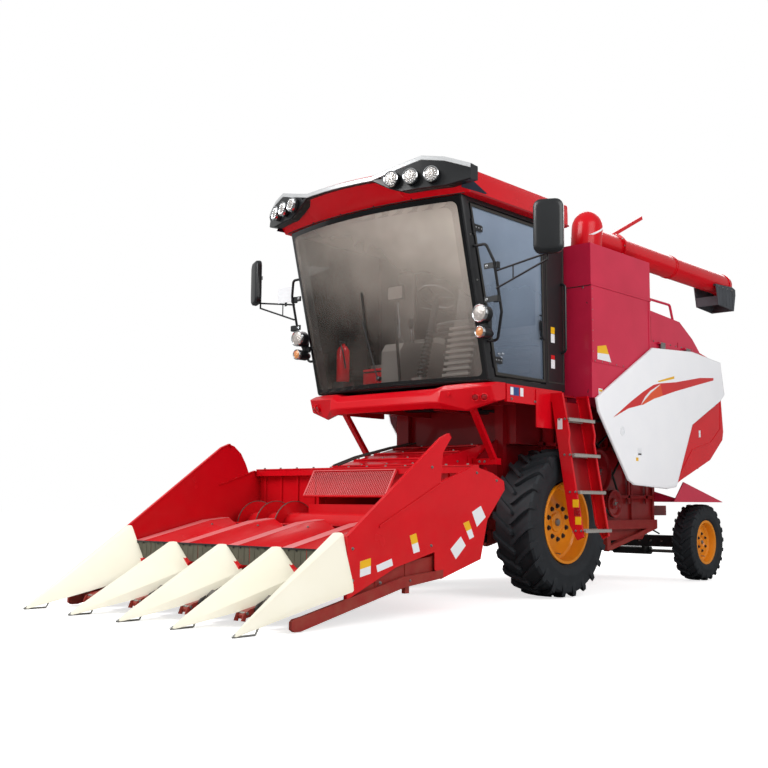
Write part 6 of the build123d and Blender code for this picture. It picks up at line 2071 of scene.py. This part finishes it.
        corners = [spot(-half, 0), spot(half, 0), spot(half, 1), spot(-half, 1)]
        for ends in zip(corners, corners[1:] + corners[:1]):
            piece.tube(ends, 11, 0, 8)
        rise = (low - top).length
        for slant in SIDES:
            for i in range(int((2 * half + rise) / pitch)):
                x0 = -half - (rise if slant > 0 else 0) + (i + 0.5) * pitch
                x1, s0, s1 = x0 + slant * rise, 0.0, 1.0
                for edge in (-half, half):
                    if (x0 - edge) * (x1 - edge) < 0:
                        cut = s0 + (s1 - s0) * (edge - x0) / (x1 - x0)
                        if abs(x0) > half:
                            x0, s0 = edge, cut
                        else:
                            x1, s1 = edge, cut
                if abs(x0) <= half and abs(x1) <= half:
                    piece.bar([spot(x0, s0, 2), spot(x1, s1, 2)], 3.0, 3, 1)
        piece.bar([spot(-half, 0, 12), spot(half, 0, 12)], 10, 6, 1)
        for x in (4 - half, half - 4):
            piece.bar([spot(x, 0.02, 10), spot(x, 0.98, 10)], 8, 6, 1)
        piece.make(replaces=["header_screen"])

    def trough(self) -> None:
        """Ribs, rail caps, bolts, gearboxes and hoses on the trough, rails and feeder house."""
        finishes = "red_gloss_enamel galvanised_steel moulded_rubber black_powder_coat cast_iron"
        piece = self.part("trough_and_feeder_detail", "body_red", finishes)
        cap = [(-1715, 1208), (-1715, 1219), (-1630, 1219), (-1630, 1120), (-1638, 1120), (-1638, 1208)]
        piece.prism(cap, Axis.X, -1372, 1372)
        for x in range(-1290, 1290, 234):
            piece.bolt((x, -1672, 1219), UP, 18, 1)
            if abs(x) > 560:
                piece.box((x - 14, -1666, 760), (x + 14, -1650, 1150))
        for side in SIDES:
            for shift in (0, 330, 660, 880):
                rib = ((-1500, 480, 0.35), (-1470, 470, 0.35), (-1350, 1175, 0.24), (-1380, 1185, 0.24))
                outline = [(y + shift, z + shift * lift) for y, z, lift in rib]
                piece.prism(outline, Axis.X, side * 549, side * 564)
            row = ((side * 552, -1420 + i * 180, 1170 + i * 40) for i in range(6))
            piece.bolts(row, (side, 0, 0), 13, 1)
        slope = (1475 - 1215) / (1540 - 440)
        for y in (-1450, -1150, -850, -560):
            z = 1215 + (y + 1540) * slope
            piece.box((-548, y - 16, z), (548, y + 16, z + 15))
            piece.bolts(((x, y, z + 15) for x in (-480, -160, 160, 480)), UP, 15, 1)
        for x in (-300, -240):
            run = [(x, -1690, 1240), (x, -1400, 1330), (x, -900, 1440), (x, -560, 1500)]
            piece.tube(rounded(run, 120), 10, 2, 8)
        for gap in self.gaps:
            for side in SIDES:
                spots = ((gap + side * 155, y, z) for y, z in ((-2700, 420), (-2450, 460)))
                piece.bolts(spots, (side, 0, 0), 16, 1)
            piece.box((gap - 70, -2520, 300), (gap + 70, -2330, 420), 4)
            piece.bolt((gap, -2520, 360), FRONT, 24, 1)
            for side in SIDES:
                piece.bolts(((gap + side * x, -3262, 530) for x in (104, 190, 262)), FRONT, 10, 3)
                piece.box((gap + side * 4, -3266, 536), (gap + side * 278, -3262, 548), 3)
        piece.make(bevel=1.5)

    def build(self) -> None:
        """Builds the whole header."""
        self.end_sheets()
        self.hoods()
        self.dividers()
        self.skids()
        self.chains()
        self.rolls()
        self.rails()
        self.auger()
        self.screen()
        self.trough()


# --------------------------------------------------------------- platform and ladder
@dataclass
class PlatformFront(Assembly):
    """The folded apron under the cab with its lamps, screws and plate, and the deck behind it."""

    SECTIONS: ClassVar[tuple[tuple[float, Outline], ...]] = (
        (600, ((-950, 1988), (-1290, 1945), (-1348, 1882), (-1362, 1815), (-1325, 1757), (-950, 1890))),
        (700, ((-950, 1990), (-1262, 1972), (-1330, 1925), (-1348, 1808), (-1290, 1748), (-950, 1880))),
        (900, ((-950, 1993), (-1215, 1982), (-1285, 1930), (-1195, 1738), (-1165, 1728), (-950, 1860))),
        (1170, ((-950, 1995), (-1088, 1990), (-1172, 1953), (-1130, 1822), (-1090, 1812), (-950, 1840))),
    )

    def apron(self) -> None:
        """The apron's folded skin with soft edges."""
        piece = self.piece("folded_apron", "body_red", "red_gloss_enamel dull_red_enamel")
        sections = [(-half, outline) for half, outline in reversed(self.SECTIONS)] + list(self.SECTIONS)
        piece.loft([[(x, y, z) for y, z in outline] for x, outline in sections])
        # The ribs under the apron take the red darkened as painted shade.
        for x in (side * (200 + i * 170) for side in SIDES for i in range(3)):
            piece.box((x - 8, -1240, 1790), (x + 8, -960, 1880), 1)
        piece.make(bevel=9, crease=12, replaces=["apron"])

    def fittings(self) -> None:
        """Screws on the facets, two round lamps at each end, blank plates and a deck seal."""
        finishes = "red_gloss_enamel galvanised_steel clear_lamp_lens scarlet_lamp_lens blue_vinyl"
        finishes += " white_vinyl black_abs_plastic moulded_rubber"
        piece = self.piece("apron_lamps_and_plates", "lamp_plastic", finishes)
        cup = [(-14, 0), (-14, 36), (16, 38), (20, 34), (18, 30), (4, 26), (4, 0)]
        lens = [(4, 0), (6, 28), (14, 26), (20, 12), (21, 0)]
        for side in SIDES:
            piece.bolt((side * 780, -1300, 1878), (side * 0.3, -1, -0.1), 20)
            piece.bolt((side * 1010, -1235, 1880), (side * 0.3, -1, -0.2), 20)
            for x, y in ((1010, -1201), (1088, -1168)):
                for profile, finish in ((cup, 0), (lens, 3)):
                    piece.turn(profile, (side * x, y, 1850), (side * 0.42, -1, -0.35), 22, finish)
        piece.box((1179, -900, 1884), (1181.4, -760, 1962), 4)
        piece.box((1179, -896, 1888), (1182.0, -850, 1958), 5)
        piece.box((1179, -740, 1884), (1181.4, -690, 1962), 5)
        for side in SIDES:
            piece.bolts(((side * 1180, y, 1850) for y in (-880, -500, -120)), (side, 0, 0), 16, 1)
        for i in range(5):
            piece.box((-1100 + i * 3, -945, 1961 + i), (1100 - i * 3, -940, 1962 + i), 7)
        piece.make(bevel=1.5)

    def deck(self) -> None:
        """Deck, side walls, hanger plate, cab feet and the two struts that lean back."""
        finishes = "red_gloss_enamel dull_red_enamel moulded_rubber galvanised_steel black_powder_coat"
        piece = self.piece("driver_platform_deck", "body_red", finishes)
        # The deck and its bearers take the red darkened as painted shade.
        piece.box((-1150, -950, 1940), (1150, 250, 1960), 1)
        for side in SIDES:
            piece.box((side * 1150, -950, 1820), (side * 1180, -30, 1985))
            piece.bar([(side * 818, -1040, 1845), (side * 794, -620, 1300)], 60, 40)
            piece.box((side * 560, -650, 1262), (side * 830, -560, 1322))
            piece.bolts(((side * x, -650, 1292) for x in (640, 700)), FRONT, 16, 3)
            for y in (-850, 50):
                piece.box((side * 840, y - 60, 1960), (side * 960, y + 60, 2000), 2)
            piece.box((side * 300, -930, 1780), (side * 360, 240, 1941), 1)
        for y in (-700, -300, 100):
            piece.box((-1140, y - 20, 1860), (1140, y + 20, 1941), 1)
        piece.box((1180, -490, 1610), (1190, -30, 1970))
        pipe = [(-200, -900, 1900), (-260, -700, 1820), (100, -400, 1830), (500, -200, 1790)]
        hose = [(420, -880, 1900), (380, -640, 1800), (520, -300, 1810), (700, -100, 1760)]
        for run, radius in ((pipe, 18), (hose, 14)):
            piece.tube(rounded(run, 90), radius, 4, 8)
        piece.make(bevel=3, replaces=["platform"])

    def build(self) -> None:
        """Builds the front of the platform."""
        self.apron()
        self.fittings()
        self.deck()


@dataclass
class BoardingLadder(Assembly):
    """Leaning ladder: kinked plate stringers, a back plate, serrated treads and reflectors."""

    top: Pair = (1190, 1950)
    foot: Pair = (1405, 590)
    front_y: float = -250
    rear_y: float = 235
    depth: float = 128
    steps: tuple[float, ...] = (1710, 1370, 1020, 660)

    def x(self, z: float) -> float:
        """The stringers' inner edge at a height."""
        share = (z - self.foot[1]) / (self.top[1] - self.foot[1])
        return self.foot[0] + share * (self.top[0] - self.foot[0])

    def stringers(self) -> None:
        """Both stringers with their rims, the back plate, bolts, reflectors and plates."""
        finishes = "red_gloss_enamel dull_red_enamel galvanised_steel yellow_vinyl"
        finishes += " scarlet_lamp_lens white_vinyl"
        piece = self.piece("boarding_ladder", "body_red", finishes)
        deep, (top_x, top_z), (foot_x, foot_z) = self.depth, self.top, self.foot
        outline = [
            self.top, (top_x + deep, top_z), (self.x(1560) + deep + 14, 1560),
            (self.x(1480) + deep - 8, 1480),
        ]
        outline += [
            (foot_x + deep, foot_z), (foot_x + 60, foot_z - 30), (self.x(700), 700), (self.x(1860), 1860),
        ]
        inside = [
            (1206, 1932), (top_x + deep - 16, 1932), (self.x(1560) + deep, 1560),
            (self.x(1480) + deep - 22, 1480),
        ]
        inside += [(foot_x + deep - 16, foot_z + 10), (foot_x + 66, foot_z - 12), (self.x(700) + 16, 706)]
        outline += [(1190, 1880)]
        inside += [(self.x(1860) + 14, 1856), (1206, 1884)]
        for y, out in ((self.front_y, -1), (self.rear_y, 1)):
            piece.prism(outline, Axis.Y, y, y - out * 8)
            piece.frame(outline, inside, Axis.Y, y - out * 8, y - out * 28)
        back = [(self.x(z) + shift, z) for z, shift in ((1880, 2), (1880, 8), (1000, 8), (1000, 2))]
        # The back plate takes the red darkened as painted shade.
        piece.prism(back, Axis.Y, self.front_y + 10, self.rear_y - 10, 1)
        for z in self.steps:
            for y, out in ((self.front_y - 1, FRONT), (self.rear_y + 1, REAR)):
                piece.bolts(((self.x(z) + offset, y, z - 14) for offset in (60, 120)), out, 14, 2)
        front = self.front_y
        x = self.x(760) + deep
        piece.box((x - 2, front - 1.5, 640), (x - 1, front, 641), 2)
        for z, finish in ((900, 3), (820, 4), (740, 3)):
            x = self.x(z) + 70
            piece.box((x, front - 2, z - 36), (x + 64, front, z + 36), finish)
        piece.box((self.x(1650) + 30, front - 1.5, 1600), (self.x(1650) + 84, front, 1700), 5)
        piece.make(bevel=2, replaces=["ladder"])

    def treads(self) -> None:
        """Tread gratings with their toothed edges."""
        piece = self.piece("serrated_treads", "grey_steel", "pale_tread_steel")
        low, high = self.front_y + 10, self.rear_y - 10
        for z in self.steps:
            x = self.x(z) + 16
            piece.box((x, low, z - 30), (x + 6, high, z - 4))
            piece.box((x + 144, low, z - 32), (x + 150, high, z - 2))
            for bar in (x + 4 + k * 30 for k in range(5)):
                piece.box((bar, low, z - 16), (bar + 5, high, z - 4))
            for y in (low + 6 + k * 29.5 for k in range(16)):
                piece.box((x + 2, y, z - 12), (x + 148, y + 5, z - 5))
            for y in (low + 6 + k * 15.4 for k in range(30)):
                tooth = [(y, z - 5), (y + 10, z - 5), (y + 7, z), (y + 3, z)]
                piece.prism(tooth, Axis.X, x + 144, x + 150)
                piece.prism(tooth, Axis.X, x, x + 5)
        piece.make(replaces=["ladder_treads"])

    def build(self) -> None:
        """Builds the ladder and its treads."""
        self.stringers()
        self.treads()


@dataclass
class DeckRails(Assembly):
    """Handrail by the ladder and the loop on the engine deck."""

    def build(self) -> None:
        """Builds the rails."""
        piece = self.piece("deck_handrails", "black_paint", "red_gloss_enamel black_powder_coat")
        rail = [(1300, 262, 1990), (1330, 268, 2120), (1330, 268, 2830), (1300, 262, 2900)]
        loop = [(1300, 1560, 2640), (1300, 1560, 2930), (1300, 1980, 2930), (1300, 1990, 2660)]
        for run, bend, radius in ((rail, 60, 14), (loop, 70, 16)):
            piece.tube(rounded(run, bend), radius, 1, 10)
        piece.make()


# ------------------------------------------------------------------------- unloading
@dataclass
class UnloadAuger(Assembly):
    """Swivelling elbow with its domed cap, flanged tube, stay and pleated spout."""

    swivel: Pair = (1100, 600)
    axis_z: float = 3645
    radius: float = 130
    end_y: float = 3900

    # The spout's walls, from the tube's end and its axis: (y, z) outside, then inside.
    WALLS: ClassVar[tuple[tuple[Pair, Pair], ...]] = (
        ((-560, -66), (-548, -80)), ((-90, -40), (-94, -54)), ((-6, -60), (-20, -72)),
        ((-2, -130), (-16, -130)), ((-62, -338), (-72, -330)), ((-500, -318), (-488, -310)),
    )

    def tube(self) -> None:
        """The domed elbow, the tube's flanges and end cap, and the stay bar."""
        (x, y), z, radius = self.swivel, self.axis_z, self.radius
        finishes = "red_gloss_enamel white_gloss_enamel galvanised_steel black_powder_coat"
        piece = self.piece("unload_flanges_and_stay", "body_red", finishes, "unload_auger")
        for spot, outer in ((y + 545, 150), (y + 568, 150), (3760, 139), (2350, 136), (2390, 136)):
            ring = [(0, radius - 4), (0, outer), (14, outer), (14, radius - 4)]
            piece.turn(ring, (x, spot, z), REAR, 36)
        spots = (polar((x, z), 142, math.tau * i / 10) for i in range(10))
        piece.bolts((place(spot, Axis.Y, y + 544) for spot in spots), FRONT, 14, 2)
        dome = [(-150, 0), (-150, 160), (110, 162), (150, 158), (200, 140), (245, 108), (278, 62), (292, 0)]
        piece.turn(dome, (x, y, z), (0, 0.12, 1), 40)
        piece.turn([(-9, 160), (-9, 172), (9, 172), (9, 160)], (x, y, z + 60), (0, -0.55, 1), 40, 1)
        end = [(0, 0), (0, 130), (70, 130), (98, 118), (116, 92), (124, 50), (126, 0)]
        piece.turn(end, (x, 3772, z), REAR, 36)
        piece.box((x - 22, 1150, 3765), (x + 22, 1230, 3800))
        piece.tube([(x - 150, 1240, 3735), (x - 150, 3300, 3735)], 8, 2, 8)
        for clip in (1500, 2100, 2700, 3250):
            piece.box((x - 160, clip, 3715), (x - 120, clip + 14, 3750), 2)
        piece.make(bevel=1.5, crease=35)

    def spout(self) -> None:
        """The pleated rubber spout: two bulged sides between four strips and a front wall."""
        x, end, axis = self.swivel[0], self.end_y, self.axis_z
        piece = self.piece(
            "pleated_rubber_spout", "spout_rubber", "grey_spout_rubber galvanised_steel", "unload_auger",
        )
        walls = [[(end + a, axis + b) for a, b in pair] for pair in self.WALLS]
        middle = (end - 280, axis - 140)
        for side in SIDES:
            cheek = []
            for depth, share in ((150, 0.97), (146, 1.0), (136, 1.0)):
                loop = [[m + (c - m) * share for c, m in zip(outside, middle)] for outside, _ in walls]
                cheek.append([(x + side * depth, *spot) for spot in loop])
            piece.loft(cheek)
            for i in range(5):
                a = end - 470 + i * 92
                pleat = [(a, 3340), (a + 16, 3340), (a + 12 - i * 2, 3560), (a + 2 - i * 2, 3560)]
                piece.prism(pleat, Axis.X, x + side * 148, x + side * 153)
            row = ((x + side * 150, end - 500 + i * 125, 3555) for i in range(4))
            piece.bolts(row, (side, 0, 0), 14, 1)
        for (a, b), (c, d) in zip(walls[:4], walls[1:5]):
            piece.prism([a, c, d, b], Axis.X, x - 146, x + 146)
        a, b = walls[5][0]
        piece.prism([(a, b), (a + 12, b), (a - 10, b + 110), (a - 22, b + 110)], Axis.X, x - 146, x + 146)
        piece.make(bevel=4, replaces=["auger_spout"])

    def build(self) -> None:
        """Builds the details that ride on the tube."""
        self.tube()
        self.spout()


# ----------------------------------------------------------------------- running gear
@dataclass
class RunningGear(Assembly):
    """Axle bolts, hoses, tank cap and straps, and the exhaust's heat shield."""

    exhaust: Triple = (-900, 2000, 3020)

    def build(self) -> None:
        """Builds the fittings on the chassis's carried solids."""
        finishes = "black_powder_coat galvanised_steel moulded_rubber dull_red_enamel cast_iron worn_steel"
        piece = self.piece("axle_and_frame_fittings", "black_paint", finishes)
        for side in SIDES:
            ring = (polar((0, 715), 150, math.tau * i / 8) for i in range(8))
            piece.bolts(((side * 846, *spot) for spot in ring), (side, 0, 0), 20, 1)
            for x in (side * (240 + k * 150) for k in range(4)):
                piece.bolt((x, -110, 760), FRONT, 18, 1)
                piece.bolt((x, 3165, 450), FRONT, 16, 1)
            front = ((365, -160, 620), (420, -240, 760), (560, -220, 980), (640, -60, 1100))
            rear = ((520, 3150, 540), (460, 2900, 640), (480, 2650, 820))
            for run, radius in ((front, 11), (rear, 10)):
                piece.tube(rounded([(side * x, y, z) for x, y, z in run], 60), radius, 2, 8)
        piece.turn([(0, 0), (0, 46), (22, 46), (26, 40), (26, 0)], (-1010, 1120, 1718), UP, 24, 1)
        for y in (1080, 1760):
            piece.box((-1214, y, 1196), (-806, y + 34, 1200))
            piece.box((-1216, y, 1200), (-1210, y + 34, 1724))
        hoops = [
            (0, 97, 102, 200, 28, 5), *((10 + i * 34, 94, 105, 5, 28, 4) for i in range(6)),
            (360, 30, 42, 14, 20, 5),
        ]
        for rise, inner, outer, height, sides, finish in hoops:
            x, y, z = self.exhaust
            ring = [(0, inner), (0, outer), (height, outer), (height, inner)]
            piece.turn(ring, (x, y, z + rise), UP, sides, finish)
        piece.make(bevel=1.5, crease=35)


# ---------------------------------------------------------------------- carried nodes
SLOT_FINISH = {
    "body_red": "red_gloss_enamel", "panel_white": "white_gloss_enamel",
    "divider_cream": "cream_polyethylene", "black_paint": "black_powder_coat",
    "black_plastic": "black_abs_plastic", "window_glass": "blue_door_glass",
    "lamp_plastic": "clear_lamp_lens", "tyre_rubber": "tyre_rubber", "rim_yellow": "yellow_wheel_enamel",
    "grey_steel": "galvanised_steel", "roll_iron": "cast_iron", "rod_chrome": "hard_chrome",
    "spout_rubber": "grey_spout_rubber", "seat_fabric": "charcoal_seat_cloth",
}
NODE_FINISH = {
    # The windshield's finish paints shade and a sky reflection into it; the far windows' finish is opaque
    # painted shade.
    "windshield": "windshield_painted_shade_and_reflection", "cab_side_glass": "painted_shade_side_glass", "engine": "cast_iron",
    "mirror_heads": "black_abs_plastic", "crop_flaps": "olive_flap_rubber",
    # The hull's nodes take the red darkened as painted shade.
    **dict.fromkeys(("threshing_body", "main_frame", "front_axle"), "dull_red_enamel"),
    # The tank, engine hood and wings take the pinker enamel of a painted sky reflection.
    **dict.fromkeys(("grain_tank", "engine_hood", "rear_wings"), "weathered_red_enamel")
}


def dress_nodes(nodes: dict[str, bpy.types.Object], palette: Palette) -> None:
    """Gives each CAD node that shows as it is the finish of its name or its slot.

    Args:
        nodes: the loaded nodes by name.
        palette: the finishes.
    """
    for name, item in nodes.items():
        slot = item.data.materials[0].name.split(".")[0] if item.data.materials else ""
        finish = NODE_FINISH.get(name) or SLOT_FINISH.get(slot, "red_gloss_enamel")
        item.data.materials.clear()
        item.data.materials.append(palette[finish])
        LOG.info("node %s: slot %s, finish %s", name, slot, finish)


# ------------------------------------------------------------------------------ main
def machine(palette: Palette) -> Iterator[Assembly]:
    """Every group of pieces, in the order that they are built.

    Args:
        palette: the finishes.

    Yields:
        Each group, not built yet.
    """
    yield from farm_wheels(palette)
    for group in (LampVisor, RoofCap, Windshield, CabInside, CabDoor, RearPillar, MirrorsAndRails):
        yield group(palette)
    for side in (1, -1):
        yield SidePanel(palette, side)
    for group in (BodySkins, BeltDrives, MaizeHeader, PlatformFront, BoardingLadder, DeckRails):
        yield group(palette)
    yield UnloadAuger(palette)
    yield RunningGear(palette)


def main() -> None:
    """Builds the machine group by group on the loaded frame."""
    logging.basicConfig(level=logging.INFO, format="%(name)s: %(message)s")
    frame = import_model()
    palette = Palette()
    Studio().build()
    dress_nodes(frame["nodes"], palette)
    for group in machine(palette):
        group.build()


if __name__ == "__main__":
    main()
